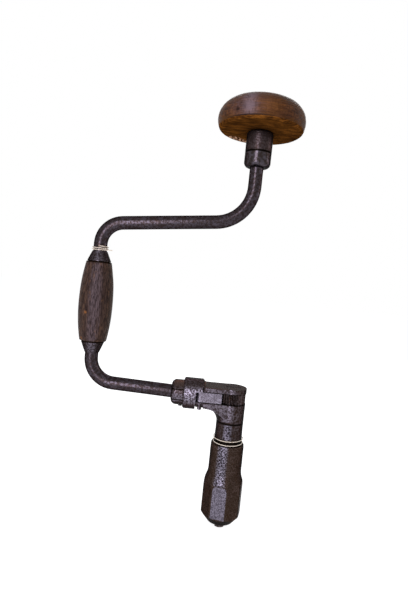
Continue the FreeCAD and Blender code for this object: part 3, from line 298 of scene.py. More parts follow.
UP = (0.0, 0.0, 1.0)
DOWN = (0.0, 0.0, -1.0)
METAL = 0.85
IRON_GLOSS = 0.15
STEEL_GLOSS = 0.3
EDGE_TINT = (0.09, 0.038, 0.022)
IRON_BROWN = (0.050, 0.024, 0.013)
# Painted shade laid in the gaps at seams and joints
SEAM_SHADE = (0.006, 0.004, 0.003)
HOLLOW_DULLNESS = 0.12
WAVE_SIZE = 12.0
WAVE_DEPTH = 0.3
DUST_SHARE = 0.2


def iron(name, dark, pale, rough=0.24, lump=1.5, depth=0.20, rust=0.35, seams=(), faces=(), sides=(),
         top=None):
    """Old oiled iron: dark hollows, slightly paler worn lumps, a little rust, and painted shade along its
    seams.

    Seams are pairs of heights. Faces and sides are painted highlights, by how the surface faces and by where
    it lies. Top is a lighter brown painted on upward faces, for how the lit top looks.
    """
    made = Finish(name)
    lumps = made.grain(lump, detail=2.0, rough=0.5, twist=0.3)
    raised = made.fit(lumps, 0.40, 0.60)
    patches = made.fit(made.grain(8.0, detail=4.0, twist=0.4), 0.30, 0.70, to_low=0.3)
    specks = made.fit(made.grain(3.2, detail=4.0, rough=0.65), 0.54, 0.70)
    colour = made.blend(made.both(raised, patches), dark, pale)
    colour = made.lay(colour, (specks, rust, IRON_BROWN))
    # Painted highlights: mottled bright bands where the key lamp's reflection falls
    for share, worn in ((made.facing, faces), (made.toward, sides)):
        for wear in worn:
            face = made.both(share(wear.way, wear.least, wear.most), made.band(wear.low, wear.high))
            colour = made.blend(face, colour, made.blend(raised, wear.dull, wear.bright))
    # Painted light: upward faces get a lighter brown of their own, for how the lit top looks
    if top:
        colour = made.blend(made.facing(UP, least=0.5, most=0.9), colour, top)
    # Painted shade: near-black bands along the seams and joints
    for low, high in seams:
        colour = made.blend(made.band(low, high), colour, SEAM_SHADE)
    waves = made.grain(WAVE_SIZE, detail=2.0, rough=0.5)
    dust = made.grain(0.8, rough=0.65)
    roughness = made.fit(raised, to_low=rough + HOLLOW_DULLNESS, to_high=rough)
    made.relief((waves, WAVE_DEPTH), (lumps, depth), (dust, depth * DUST_SHARE))
    return made.shade(colour=colour, rough=roughness, metal=METAL, gloss=IRON_GLOSS, edge=EDGE_TINT)


def steel(name, dark, pale, rough=0.35):
    """Worked steel with turning marks and a brown tint in the hollows."""
    made = Finish(name)
    patches = made.fit(made.grain(3.0, detail=4.0), 0.35, 0.65)
    streaks = made.grain(0.5, detail=2.0, rough=0.5, place=made.moved(stretch=(6, 6, 1)))
    colour = made.blend(patches, dark, pale)
    roughness = made.fit(streaks, 0.3, 0.7, to_low=rough - 0.1, to_high=rough + 0.15)
    made.relief((streaks, 0.03), (made.grain(0.8), 0.04))
    return made.shade(colour=colour, rough=roughness, metal=METAL, gloss=STEEL_GLOSS, edge=EDGE_TINT)


def way_at(degrees):
    """The level way that is turned some degrees to the left of the front."""
    angle = math.radians(degrees)
    return -math.sin(angle), -math.cos(angle), 0.0


SHELL_FLAT_TURN = 13.0
SHELL_SIDE_TURN = 18.0
NECK_SIDE_TURN = 10.0
# Widths of the painted shade at the seams, and below and above the neck tie
SEAM = 0.6 * MM
TIE_SHADE_BELOW = 1.0 * MM
TIE_SHADE_ABOVE = 5.0 * MM

# Painted highlights, each standing in for the key lamp's reflection on a face or side of a piece
flat_highlight = PaintedHighlight(way=way_at(SHELL_FLAT_TURN), least=0.985, most=0.992, low=13.0 * MM, high=41.0 * MM,
                 dull=(0.070, 0.061, 0.078), bright=(0.190, 0.170, 0.215))
shell_side_highlight = PaintedHighlight(way=way_at(SHELL_SIDE_TURN), least=0.92, most=1.0, low=42.0 * MM, high=78.0 * MM,
                 dull=(0.010, 0.007, 0.008), bright=(0.180, 0.164, 0.206))
neck_highlight = PaintedHighlight(way=way_at(NECK_SIDE_TURN), least=0.93, most=1.0, low=78.0 * MM, high=106.0 * MM,
                 dull=(0.012, 0.009, 0.010), bright=(0.140, 0.126, 0.160))
box_front_highlight = PaintedHighlight(way=(-0.25, -0.93, -0.26), least=0.84, most=0.98, low=97.0 * MM, high=127.0 * MM,
                dull=(0.042, 0.032, 0.036), bright=(0.148, 0.129, 0.158))
ring_front_highlight = PaintedHighlight(way=(0.0, -0.995, 0.08), least=0.78, most=0.96, low=95.0 * MM, high=127.0 * MM,
                 dull=(0.044, 0.034, 0.041), bright=(0.235, 0.210, 0.260))
ferrule_highlight = PaintedHighlight(way=(0.10, -0.945, 0.0), least=0.78, most=0.88, low=140.0 * MM, high=234.0 * MM,
                    dull=(0.026, 0.019, 0.020), bright=(0.120, 0.105, 0.128))

crank_iron = iron(
    "crank_iron", dark=(0.025, 0.018, 0.018), pale=(0.058, 0.049, 0.060),
    rough=0.20, lump=1.9, depth=0.05, rust=0.25,
)
collar_iron = iron(
    "collar_iron", dark=(0.030, 0.023, 0.022), pale=(0.072, 0.062, 0.076),
    rough=0.15, lump=2.4, depth=0.07, rust=0.2,
    seams=((head_joint - SEAM, head_joint),),
)
ferrule_iron = iron(
    "ferrule_iron", dark=(0.020, 0.014, 0.013), pale=(0.062, 0.052, 0.060),
    lump=1.2, depth=0.14, rust=0.2, faces=(ferrule_highlight,),
    seams=((grip_high.z - SEAM, grip_high.z + SEAM), (grip_low.z - SEAM, grip_low.z + SEAM)),
)
spindle_iron = iron(
    "spindle_iron", dark=(0.022, 0.014, 0.012), pale=(0.056, 0.044, 0.047),
    depth=0.24, sides=(neck_highlight,),
    seams=((neck_joint - SEAM, neck_joint), (shell_top - TIE_SHADE_BELOW, shell_top + TIE_SHADE_ABOVE)),
)
quill_iron = iron(
    "quill_iron", dark=(0.030, 0.020, 0.019), pale=(0.062, 0.047, 0.050),
    rough=0.30, depth=0.12,
    seams=((head_joint, head_joint + SEAM), (head_low.z - SEAM, head_low.z)),
)
box_iron = iron(
    "box_iron", dark=(0.022, 0.014, 0.012), pale=(0.078, 0.062, 0.070),
    depth=0.24, faces=(box_front_highlight,), top=(0.080, 0.053, 0.046),
    seams=((neck_joint, neck_joint + SEAM), (slot_low.z - SEAM, slot_low.z),
           (slot_high.z, slot_high.z + SEAM)),
)
ring_iron = iron(
    "ring_iron", dark=(0.030, 0.021, 0.020), pale=(0.082, 0.066, 0.076),
    depth=0.24, rust=0.2, faces=(ring_front_highlight,),
)
# Pale partly as rubbed bare metal and partly as a painted highlight for the lamp's reflection on the pawl's
# front
pawl_iron = iron(
    "pawl_iron", dark=(0.100, 0.085, 0.104), pale=(0.290, 0.262, 0.322),
    lump=1.1, depth=0.16, rust=0.15,
)
shell_iron = iron(
    "shell_iron", dark=(0.026, 0.016, 0.011), pale=(0.060, 0.041, 0.036),
    lump=1.1, depth=0.18, rust=0.30, faces=(flat_highlight,), sides=(shell_side_highlight,),
)
bright_steel = steel("bright_steel", dark=(0.045, 0.034, 0.030), pale=(0.150, 0.125, 0.120))
blue_steel = steel("blue_steel", dark=(0.06, 0.055, 0.06), pale=(0.15, 0.14, 0.15), rough=0.3)


# Wood and coated wire

# Spots of wear and marks, of a painted sheen and painted highlights on the head's front, and of shade round
# the sleeve, each a point and a reach in millimetres
HEAD_GLOW = ((2.0, -37.0, 354.0), 20.0)
HEAD_SHEEN_SPOT = ((-15.0, -33.0, 356.0), 23.0)
HEAD_HIGHLIGHT_SPOTS = (((-13.2, -34.2, 349.0), 8.5), ((-13.2, -34.2, 354.0), 8.5), ((-13.2, -32.0, 360.0), 8.5))
HEAD_DARK_LINE = ((-12.0, -34.0, 345.0), 34.0)
HEAD_KNOT = ((-21.8, -29.3, 350.0), 2.6)
CHIPPED = (((-22.0, 24.0, 343.0), 12.0), ((-16.0, 28.5, 343.0), 10.0), ((-10.5, 31.0, 343.0), 8.0))
SLEEVE_SHADE = ((0.0, 0.0, 343.0), 21.0)
UNDERSIDE_CRACKED = ((31.0, 8.0, 343.0), 20.0)
GRIP_RUBBED = (((-129.7, -14.0, 205.4), 1.9), ((-119.2, -12.9, 215.6), 1.7), ((-131.0, -13.5, 179.2), 2.0),
               ((-121.9, -11.5, 220.8), 1.8), ((-133.0, -7.5, 156.5), 3.0))

HEAD_RIM_WEAR = 2.4 * MM
HEAD_DARK_LINE_LOW = 1.9 * MM
HEAD_DARK_LINE_HIGH = 2.7 * MM
TURNING_PITCH = 2.1 * MM
TURNING_WANDER = 9.0
GRIP_FRONT = (0.14, -0.99, 0.0)
MARK_BROWN = (0.012, 0.006, 0.005)
WOOD_GLOSS = {"head": 0.04, "underside": 0.0, "grip": 0.05, "grip_ends": 0.0}
WIRE_GLOSS = 0.45


def wood_chips(made, colour):
    """Pale broken wood at the far edge of the head's underside, with dark breaks round it."""
    broken = made.fit(made.grain(1.5, place=made.moved(stretch=(1, 2.4, 1))), 0.48, 0.55)
    below = made.facing(DOWN, least=0.80, most=0.95)
    for spot in CHIPPED:
        close = made.both(below, made.fit(made.near(*spot), 0.10, 0.55))
        colour = made.lay(
            colour,
            (close, 0.6, (0.040, 0.016, 0.006)),
            (close, broken, (0.80, 0.46, 0.29)),
        )
    return colour


def head_wood():
    """Dark turned wood with fine lines across and a knot, and a painted sheen and highlight on its front."""
    made = Finish("head_wood")
    rim = head_low.z
    grain = made.grain(2.6, detail=5.0, rough=0.62, place=made.moved(stretch=(9, 2.2, 1)), twist=0.3)
    streak = made.fit(grain, 0.36, 0.64)
    fine = made.grain(0.55, place=made.moved(stretch=(18, 3, 1)))
    pores = made.fit(fine, 0.52, 0.66)
    cloud = made.fit(made.grain(17.0, rough=0.55), 0.35, 0.65)
    patches = made.grain(7.0, detail=4.0, place=made.moved(stretch=(2.5, 1.5, 1)))
    patches = made.fit(patches, 0.42, 0.66)
    turns = made.both(made.height(), math.tau / TURNING_PITCH)
    turns = made.calc("ADD", turns, made.both(made.grain(14.0, detail=2.0, rough=0.5), TURNING_WANDER))
    turning = made.both(made.calc("SINE", turns), made.fit(made.grain(3.4), 0.40, 0.60))
    ticks = made.grain(1.1, detail=2.0, rough=0.5, place=made.moved(stretch=(1, 1, 6), shift=(2, 5, 1)))
    ticks = made.fit(ticks, 0.54, 0.64)
    glow = made.both(made.near(*HEAD_GLOW), made.fit(fine, 0.35, 0.65, to_low=0.2))
    golden = made.band(rim, rim + HEAD_RIM_WEAR, soft=3.0)
    golden = made.both(golden, made.fit(cloud, to_low=0.8, to_high=0.2))
    # Painted sheen: a purple-grey patch on the head's front, left of the middle
    painted_sheen = made.both(made.near(*HEAD_SHEEN_SPOT), made.fit(fine, 0.30, 0.62, to_low=1.0, to_high=0.3))
    # A dark line just above the rim, along the head's front
    dark_line = made.both(made.band(rim + HEAD_DARK_LINE_LOW, rim + HEAD_DARK_LINE_HIGH), made.near(*HEAD_DARK_LINE))
    colour = made.blend(streak, (0.045, 0.015, 0.006), (0.190, 0.072, 0.022))
    colour = made.lay(
        colour,
        (cloud, 0.7, (0.100, 0.042, 0.022)),
        (patches, 0.6, (0.038, 0.013, 0.006)),
        (pores, 0.6, (0.020, 0.008, 0.004)),
        (made.fit(turning, 0.1, 0.8), 0.55, (0.026, 0.011, 0.007)),
        (ticks, 0.55, (0.022, 0.009, 0.005)),
        (glow, 0.6, (0.200, 0.078, 0.020)),
        (golden, 1.0, (0.110, 0.042, 0.008)),
        (painted_sheen, 0.65, (0.170, 0.108, 0.112)),
    )
    # Painted highlight: pale streaks down the front of the head's side
    for spot in HEAD_HIGHLIGHT_SPOTS:
        painted_highlight = made.both(made.near(*spot), made.fit(ticks, to_low=1.0, to_high=0.35))
        colour = made.lay(colour, (painted_highlight, 0.5, (0.250, 0.180, 0.200)))
    colour = made.lay(colour, (dark_line, 0.9, MARK_BROWN), (made.near(*HEAD_KNOT), 0.9, MARK_BROWN))
    made.relief((grain, 0.20), (turning, -0.06), (pores, -0.08))
    roughness = made.fit(streak, to_low=0.34, to_high=0.46)
    return made.shade(colour=colour, rough=roughness, gloss=WOOD_GLOSS["head"])


def underside_wood():
    """Dry golden wood under the head, darker round the sleeve."""
    made = Finish("head_underside")
    grain = made.grain(2.2, detail=5.0, rough=0.62, place=made.moved(stretch=(7, 1.4, 1)), twist=0.3)
    fine = made.grain(1.1, place=made.moved(stretch=(6, 1.2, 1)))
    patches = made.grain(6.0, detail=4.0, place=made.moved(stretch=(2.0, 1.0, 1)))
    cracked = made.both(made.near(*UNDERSIDE_CRACKED), made.fit(fine, 0.40, 0.60, to_low=0.3))
    colour = made.blend(made.fit(grain, 0.36, 0.64), (0.085, 0.029, 0.005), (0.235, 0.084, 0.014))
    colour = made.lay(
        colour,
        (made.fit(patches, 0.42, 0.66), 0.6, (0.056, 0.020, 0.005)),
        (made.fit(fine, 0.50, 0.64), 0.7, (0.026, 0.010, 0.004)),
        (made.near(*SLEEVE_SHADE), 0.9, (0.010, 0.005, 0.003)),
        (cracked, 0.8, (0.030, 0.011, 0.004)),
    )
    colour = wood_chips(made, colour)
    made.relief((grain, 0.20), (fine, 0.10))
    roughness = made.fit(fine, 0.3, 0.7, to_low=0.7, to_high=0.85)
    return made.shade(colour=colour, rough=roughness, gloss=WOOD_GLOSS["underside"])


def end_wood():
    """Near-black end grain where the grip meets its collars."""
    made = Finish("grip_ends")
    grain = made.grain(0.7, detail=4.0)
    colour = made.blend(made.fit(grain, 0.35, 0.65), (0.006, 0.004, 0.003), (0.022, 0.011, 0.007))
    made.relief((grain, 0.15))
    roughness = made.fit(grain, 0.3, 0.7, to_low=0.75, to_high=0.9)
    return made.shade(colour=colour, rough=roughness, gloss=WOOD_GLOSS["grip_ends"])


def grip_wood():
    """Dark wood with long streaks, a painted sheen down its front, and orange where the dark skin has gone.
    """
    made = Finish("grip_wood")
    grain = made.grain(1.1, detail=5.0, rough=0.65, place=made.moved(stretch=(1, 1, 9)), twist=0.35)
    streak = made.fit(grain, 0.42, 0.58)
    pores = made.fit(made.grain(0.8, place=made.moved(stretch=(1, 1, 7))), 0.50, 0.60)
    cloud = made.fit(made.grain(9.0, rough=0.55, place=made.moved(stretch=(1, 1, 3))), 0.38, 0.64)
    # Painted sheen: a purple-grey band down the grip's front
    front = made.facing(GRIP_FRONT, least=0.88, most=1.0)
    front_sheen = made.both(front, made.fit(streak, to_low=0.4, to_high=0.8))
    worn = made.grain(2.4, detail=4.0, place=made.moved(stretch=(1, 1, 3.5), shift=(3, 1, 7)))
    colour = made.blend(streak, (0.034, 0.018, 0.013), (0.096, 0.054, 0.036))
    colour = made.lay(
        colour,
        (cloud, 0.6, (0.050, 0.031, 0.027)),
        (front_sheen, 1.0, (0.126, 0.092, 0.102)),
        (pores, 0.75, (0.012, 0.007, 0.006)),
        (made.fit(worn, 0.62, 0.70), 0.40, (0.200, 0.100, 0.045)),
    )
    for spot in GRIP_RUBBED:
        colour = made.lay(colour, (made.near(*spot), made.fit(grain, 0.40, 0.50), (0.300, 0.115, 0.032)))
    made.relief((grain, 0.25), (pores, -0.10))
    roughness = made.fit(streak, to_low=0.50, to_high=0.38)
    return made.shade(colour=colour, rough=roughness, gloss=WOOD_GLOSS["grip"])


def tie_finish():
    """Cream coated wire with grime in places."""
    made = Finish("tie_wire")
    grime = made.fit(made.grain(1.6, detail=4.0), 0.50, 0.72)
    fine = made.grain(0.35)
    colour = made.blend(grime, (0.92, 0.81, 0.66), (0.46, 0.31, 0.18))
    made.relief((fine, 0.04))
    roughness = made.fit(fine, 0.3, 0.7, to_low=0.38, to_high=0.6)
    return made.shade(colour=colour, rough=roughness, gloss=WIRE_GLOSS)


head_material = head_wood()
underside_material = underside_wood()
grip_material = grip_wood()
end_material = end_wood()
tie_material = tie_finish()


# Finishes on the pieces

def dress(piece, material):
    piece.data.materials.clear()
    piece.data.materials.append(material)
    return piece


def dress_faces(piece, material, chosen):
    """A second finish on the faces that are chosen by the height of their middle."""
    piece.data.materials.append(material)
    for face in piece.data.polygons:
        face.material_index = 1 if chosen(face.center.z) else 0


FINISHES = {
    crank_iron: ("sweep_frame",),
    collar_iron: ("head_bearing_collar",),
    ferrule_iron: ("grip_top_collar", "grip_bottom_collar"),
    spindle_iron: ("chuck_spindle", "ratchet_wheel"),
    quill_iron: ("head_quill",),
    box_iron: ("ratchet_box", "frame_pin", "pawl_pins", "spindle_screw"),
    ring_iron: ("cam_ring",),
    pawl_iron: ("front_pawl", "rear_pawl"),
    shell_iron: ("chuck_shell",),
    bright_steel: ("front_jaw", "rear_jaw", "thrust_ring", "wheel_pin", "spindle_nut", "spindle_washer",
                   "bearing_balls"),
    blue_steel: ("pawl_spring", "jaw_spring"),
    head_material: ("wooden_head",),
    grip_material: ("wooden_grip",),
    tie_material: ("grip_tie_wire", "neck_tie_wire"),
}
for material, names in FINISHES.items():
    for name in names:
        for slot in nodes[name].material_slots:
            slot.material = material


# Unevenness and chips of turned wood

# Each seed shifts the unevenness by its own share along each axis
SEED_WAY = (1.0, 2.3, 0.7)
CHIP_COLUMNS = 14


def unevenness(radius, height, angle, depth, size, seed):
    """How far slow wear takes a profile's point inwards."""
    spot = Vector((radius * math.cos(angle), radius * math.sin(angle), height)) / size
    shift = Vector([seed * share for share in SEED_WAY])
    return depth * (noise.noise(spot + shift) * 0.5 + 0.5)


def chip_bite(angle, middle, width):
    """1 at the middle of a chip, falling to 0 at its width. Middle and width are in degrees."""
    away = (math.degrees(angle) - middle + 180) % 360 - 180
    return max(0.0, 1 - (away / width) ** 2)


def chip_roughness(angle, height, middle, level, swing, rows):
    """A broken surface: a level, and a swing about it that changes round the piece and along it."""
    return level + swing * noise.noise(Vector((angle * CHIP_COLUMNS, height * rows, middle)))


# Turned head

HEAD_BORE = 8.05 * MM
HEAD_BORE_DEPTH = 22.3 * MM
HEAD_MOUTH_RISE = 1.0 * MM
HEAD_MOUTH_WIDTH = 0.4 * MM
HEAD_EDGE_INSET = 1.6 * MM
HEAD_EDGE_RISE = 1.4 * MM
HEAD_BEVEL = 2.4 * MM
HEAD_GIRTH_RISE = 8.3 * MM
HEAD_SHOULDER = 15.5 * MM
HEAD_CROWN_RISE = 3.0 * MM
HEAD_CROWN_END = 0.4 * MM
HEAD_CORE = 0.02 * MM
UNDERSIDE_RISE = 2.1 * MM

# Points on each stretch of the profile
UNDERSIDE_STEPS = 20
BEVEL_STEPS = 5
SIDE_STEPS = 12
SHOULDER_STEPS = 30
CROWN_STEPS = 24
HEAD_SEGMENTS = 288

# Chips, each its middle and width in degrees and its depth in millimetres
HEAD_CHIPS = ((129.0, 7.0, 0.9), (117.0, 5.0, 0.8), (142.0, 4.0, 0.6), (-150.0, 3.0, 0.5), (20.0, 3.0, 0.6))
HEAD_CHIP_BREAK = {"level": 0.6, "swing": 0.5, "rows": 400}

# Unevenness, each a depth, a size and a seed
HEAD_SLOW_WEAR = (0.5 * MM, 16 * MM, 3.1)
HEAD_FINE_WEAR = (0.16 * MM, 4 * MM, 7.7)
HEAD_WEAR_RISE = 0.5
HEAD_RIM_REACH = 3.5 * MM
HEAD_BORE_KEPT = 1.0 * MM
LEVEL_ERROR = 0.01 * MM


def turned_head():
    radius = head_high.x
    low = head_low.z
    girth = low + HEAD_GIRTH_RISE
    edge = radius - HEAD_EDGE_INSET
    rim = radius - HEAD_SHOULDER
    crown = head_high.z
    side_rise = HEAD_GIRTH_RISE - HEAD_EDGE_RISE
    side_arc = (HEAD_EDGE_INSET ** 2 + side_rise ** 2) / (2 * HEAD_EDGE_INSET)
    bevel_arc = 2 * math.hypot(HEAD_BEVEL, HEAD_EDGE_RISE)
    dome = (rim ** 2 + HEAD_CROWN_RISE ** 2) / (2 * HEAD_CROWN_RISE)
    top = girth + HEAD_SHOULDER
    outline = [(HEAD_BORE, low + HEAD_BORE_DEPTH), (HEAD_BORE, low + HEAD_MOUTH_RISE)]
    outline += [(HEAD_BORE + HEAD_MOUTH_WIDTH, low)]
    outline += line_points(outline[-1], (edge - HEAD_BEVEL, low), UNDERSIDE_STEPS)
    outline += arc_points(outline[-1], (edge, low + HEAD_EDGE_RISE), bevel_arc, BEVEL_STEPS)
    outline += arc_points(outline[-1], (radius, girth), side_arc, SIDE_STEPS)
    outline += arc_points((radius, girth), (rim, top), HEAD_SHOULDER, SHOULDER_STEPS)
    outline += arc_points((rim, top), (HEAD_CROWN_END, crown), dome, CROWN_STEPS)
    outline += [(HEAD_CORE, crown), (HEAD_CORE, low + HEAD_BORE_DEPTH)]

    def ring(spot):
        def at(angle):
            r, z = spot
            if r < HEAD_BORE + HEAD_BORE_KEPT:
                return r, z
            push = unevenness(r, z, angle, *HEAD_SLOW_WEAR)
            push += unevenness(r, z, angle, *HEAD_FINE_WEAR)
            at_rim = smooth_step(HEAD_RIM_REACH, 0.0, abs(z - low - HEAD_EDGE_RISE) + abs(r - edge))
            for middle, width, depth in HEAD_CHIPS:
                rough = chip_roughness(angle, z, middle, **HEAD_CHIP_BREAK)
                push += chip_bite(angle, middle, width) * rough * depth * MM * at_rim
            if z <= low + LEVEL_ERROR:
                return r - push * at_rim, z + push * HEAD_WEAR_RISE
            return r - push, z + push * at_rim * HEAD_WEAR_RISE
        return at

    return lathe("turned_head", [ring(spot) for spot in outline], HEAD_SEGMENTS)


head = dress(turned_head(), head_material)
underside_top = head_low.z + UNDERSIDE_RISE
dress_faces(head, underside_material, lambda height: height < underside_top)
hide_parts("wooden_head")
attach(head, "head")


# Turned grip

GRIP_BORE = 6.1 * MM
GRIP_TOP = 10.8 * MM
GRIP_BOTTOM = 11.8 * MM
GRIP_GIRTH_RISE = 34.0 * MM
GRIP_EDGE = 0.8 * MM
GRIP_TOP_EDGE = 0.25 * MM
GRIP_END_SHARE = 0.9

# Lips round the bore that stand out of the ends and hide the gaps to the collars
GRIP_LIP = 9.4 * MM
GRIP_LIP_RISE = 0.15 * MM
GRIP_LIP_END = 0.5 * MM
GRIP_LIP_KEPT = 0.1 * MM

# Points on each stretch of the profile
GRIP_LOW_STEPS = 4
GRIP_SIDE_STEPS = 55
GRIP_TOP_STEPS = (2, 3, 4)
GRIP_SEGMENTS = 200

# Chips at both ends, and long grooves
GRIP_LOW_CHIPS = ((-140.0, 22.0, 1.6), (-60.0, 10.0, 0.7), (100.0, 14.0, 1.0))
GRIP_TOP_CHIPS = ((-100.0, 9.0, 0.6),)
GRIP_CHIP_BREAK = {"level": 0.7, "swing": 0.9, "rows": 500}
GRIP_CHIP_REACH = 3.2 * MM
GRIP_CHIP_RISE = 0.4
GRIP_WEAR = (0.35 * MM, 13 * MM, 5.2)
GROOVE_DEPTH = 0.35 * MM
GROOVE_LEVEL = 0.12
GROOVE_COLUMNS = 9
GROOVE_ROWS = 55
GROOVE_SCALE = 1.3


def turned_grip():
    low = grip_low.z
    high = grip_high.z
    girth = (grip_high.x - grip_low.x) / 2
    middle = low + GRIP_GIRTH_RISE
    lower_half = middle - low - GRIP_EDGE
    upper_half = high - GRIP_TOP_EDGE - middle
    lower_arc = (lower_half ** 2 + (girth - GRIP_BOTTOM) ** 2) / (2 * (girth - GRIP_BOTTOM))
    upper_arc = (upper_half ** 2 + (girth - GRIP_TOP) ** 2) / (2 * (girth - GRIP_TOP))
    lip_low = low - GRIP_LIP_RISE
    lip_high = high + GRIP_LIP_RISE
    outline = [(GRIP_BORE, lip_high), (GRIP_BORE, lip_low)]
    for corner in ((GRIP_LIP, lip_low), (GRIP_BOTTOM - GRIP_EDGE, low), (GRIP_BOTTOM, low + GRIP_EDGE)):
        outline += line_points(outline[-1], corner, GRIP_LOW_STEPS)
    outline += arc_points(outline[-1], (girth, middle), lower_arc, GRIP_SIDE_STEPS)
    outline += arc_points(outline[-1], (GRIP_TOP, high - GRIP_TOP_EDGE), upper_arc, GRIP_SIDE_STEPS)
    upper_corners = ((GRIP_TOP - GRIP_TOP_EDGE, high), (GRIP_LIP, lip_high),
                     (GRIP_BORE + GRIP_LIP_END, lip_high))
    for corner, steps in zip(upper_corners, GRIP_TOP_STEPS):
        outline += line_points(outline[-1], corner, steps)
    chips = [(low, 1, chip) for chip in GRIP_LOW_CHIPS]
    chips += [(high, -1, chip) for chip in GRIP_TOP_CHIPS]

    def ring(spot):
        def at(angle):
            r, z = spot
            if r < GRIP_LIP + GRIP_LIP_KEPT:
                return r, z
            around = Vector((math.cos(angle) * GROOVE_COLUMNS, math.sin(angle) * GROOVE_COLUMNS,
                             z * GROOVE_ROWS))
            push = GROOVE_DEPTH * max(0.0, noise.noise(around * GROOVE_SCALE) - GROOVE_LEVEL)
            push += unevenness(r, z, angle, *GRIP_WEAR)
            rise = 0.0
            for end, inwards, (centre, width, depth) in chips:
                bite = chip_bite(angle, centre, width) * smooth_step(GRIP_CHIP_REACH, 0.0, abs(z - end))
                rough = chip_roughness(angle, z, centre, **GRIP_CHIP_BREAK)
                push += bite * rough * depth * MM
                rise += bite * rough * depth * GRIP_CHIP_RISE * MM * inwards
            return r - push, z + rise
        return at

    return lathe("turned_grip", [ring(spot) for spot in outline], GRIP_SEGMENTS, grip_axis)


def at_grip_end(height):
    return min(height - grip_low.z, grip_high.z - height) < GRIP_EDGE * GRIP_END_SHARE


grip = dress(turned_grip(), grip_material)
dress_faces(grip, end_material, at_grip_end)
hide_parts("wooden_grip")
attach(grip, "grip")


# Knurl of the shell

KNURL_COLUMNS = 74
KNURL_ROW = 1.45 * MM
KNURL_HEIGHT = 0.34 * MM
KNURL_SINK = 0.06 * MM
KNURL_STEPS = 6
KNURL_TOP = 1.6 * MM
KNURL_TOP_FADE = 0.8 * MM
KNURL_LENGTH = 34.0 * MM
KNURL_BLUNTNESS = 1.25
KNURL_CUT_LOW = -0.25 * MM
KNURL_CUT_HIGH = 0.35 * MM
KNURL_CUT_SINK = 0.3 * MM
KNURL_WEAR_LEVEL = 0.72
KNURL_WEAR_SWING = 0.35
KNURL_WEAR_COLUMNS = 2.2
KNURL_WEAR_ROWS = 140
FLARE_TOP = 23.4 * MM
FLARE_LENGTH = 16.0 * MM
SHELL_UPPER = 14.4 * MM
SHELL_LOWER = 17.65 * MM
SHELL_FLAT = 16.55 * MM
SHELL_FLAT_ANGLE = math.pi / 4


def shell_radius(height):
    """Radius of the shell's round surface at a height."""
    run = FLARE_LENGTH / 2
    rise = SHELL_LOWER - SHELL_UPPER
    bend = (rise * rise / 4 + run * run) / rise
    down = shell_top - FLARE_TOP - height
    if down <= 0.0:
        return SHELL_UPPER
    if down <= run:
        return SHELL_UPPER + bend - math.sqrt(bend * bend - down * down)
    left = max(FLARE_LENGTH - down, 0.0)
    return SHELL_LOWER - bend + math.sqrt(bend * bend - left * left)


def flat_radius(angle):
    """Radius at which the eight flats cut the shell."""
    half = SHELL_FLAT_ANGLE / 2
    away = (angle + math.pi / 2 + math.radians(SHELL_FLAT_TURN) + half) % SHELL_FLAT_ANGLE - half
    return SHELL_FLAT / math.cos(away)


def zigzag(value):
    return abs(value % 1.0 - 0.5) * 2


def knurl():
    """Diamonds on the shell's round part, which fade at the top and where the flats begin."""
    top = shell_top - KNURL_TOP
    rows = int(KNURL_LENGTH / KNURL_ROW * KNURL_STEPS)

    def ring(row):
        height = top - KNURL_LENGTH * row / rows

        def at(angle):
            around = KNURL_COLUMNS * angle / math.tau
            along = height / KNURL_ROW
            peak = min(zigzag(around + along), zigzag(around - along))
            body = shell_radius(height)
            flat = flat_radius(angle)
            cut = 1.0
            if height < shell_top - FLARE_TOP:
                cut = smooth_step(KNURL_CUT_LOW, KNURL_CUT_HIGH, flat - body)
            edge = smooth_step(0.0, KNURL_TOP_FADE, top - height)
            spot = Vector((math.cos(angle) * KNURL_WEAR_COLUMNS, math.sin(angle) * KNURL_WEAR_COLUMNS,
                           height * KNURL_WEAR_ROWS))
            worn = KNURL_WEAR_LEVEL + KNURL_WEAR_SWING * noise.noise(spot)
            lift = KNURL_HEIGHT * min(peak * KNURL_BLUNTNESS, 1.0) * worn * edge * cut - KNURL_SINK
            return min(body, flat) + lift - KNURL_CUT_SINK * (1 - cut), height
        return at

    rings = [ring(row) for row in range(rows + 1)]
    return lathe("shell_knurl", rings, KNURL_COLUMNS * KNURL_STEPS, closed=False)


knurled = dress(knurl(), shell_iron)
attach(knurled, "shell")


# Tie wires

# Each wire is drawn slimmer than the room that is kept for it, by its slimness
NECK_WIRE = 1.1 * MM
NECK_WIRE_SLIMNESS = 0.64
NECK_WIRE_SIDES = 12
NECK_WIRE_PITCH = 3.4 * MM
NECK_WIRE_CROSSING = (0.75, 1.25)
NECK_WIRE_RISE = 0.15 * MM
NECK_WIRE_LEAN = 0.3 * MM
NECK_WIRE_WOBBLE = 0.07 * MM
NECK_WOBBLE_RATE = 9
NECK_WOBBLE_ROW = 4.0
NECK_SKIRT = 12.1 * MM
GRIP_WIRE = 1.2 * MM
GRIP_WIRE_PITCH = 1.6 * MM
GRIP_WIRE_LIFT = 0.4 * MM
GRIP_WIRE_TAIL = 5.5 * MM
GRIP_TAIL_RISE = 0.3 * MM
GRIP_TAIL_STEPS = 20
ROD = 5.75 * MM
WIRE_GAP = 0.15 * MM
WIRE_TURNS = 2
WIRE_STEPS = 90
STRAND_LAY = 2.6 * MM
STRAND_SLIMNESS = 0.66
STRAND_SIDES = 8


def windings(first):
    """Turns and angle at each step of a wire that is wound clockwise from its first angle."""
    for step in range(WIRE_TURNS * WIRE_STEPS + 1):
        turns = step / WIRE_STEPS
        yield turns, first - math.tau * turns


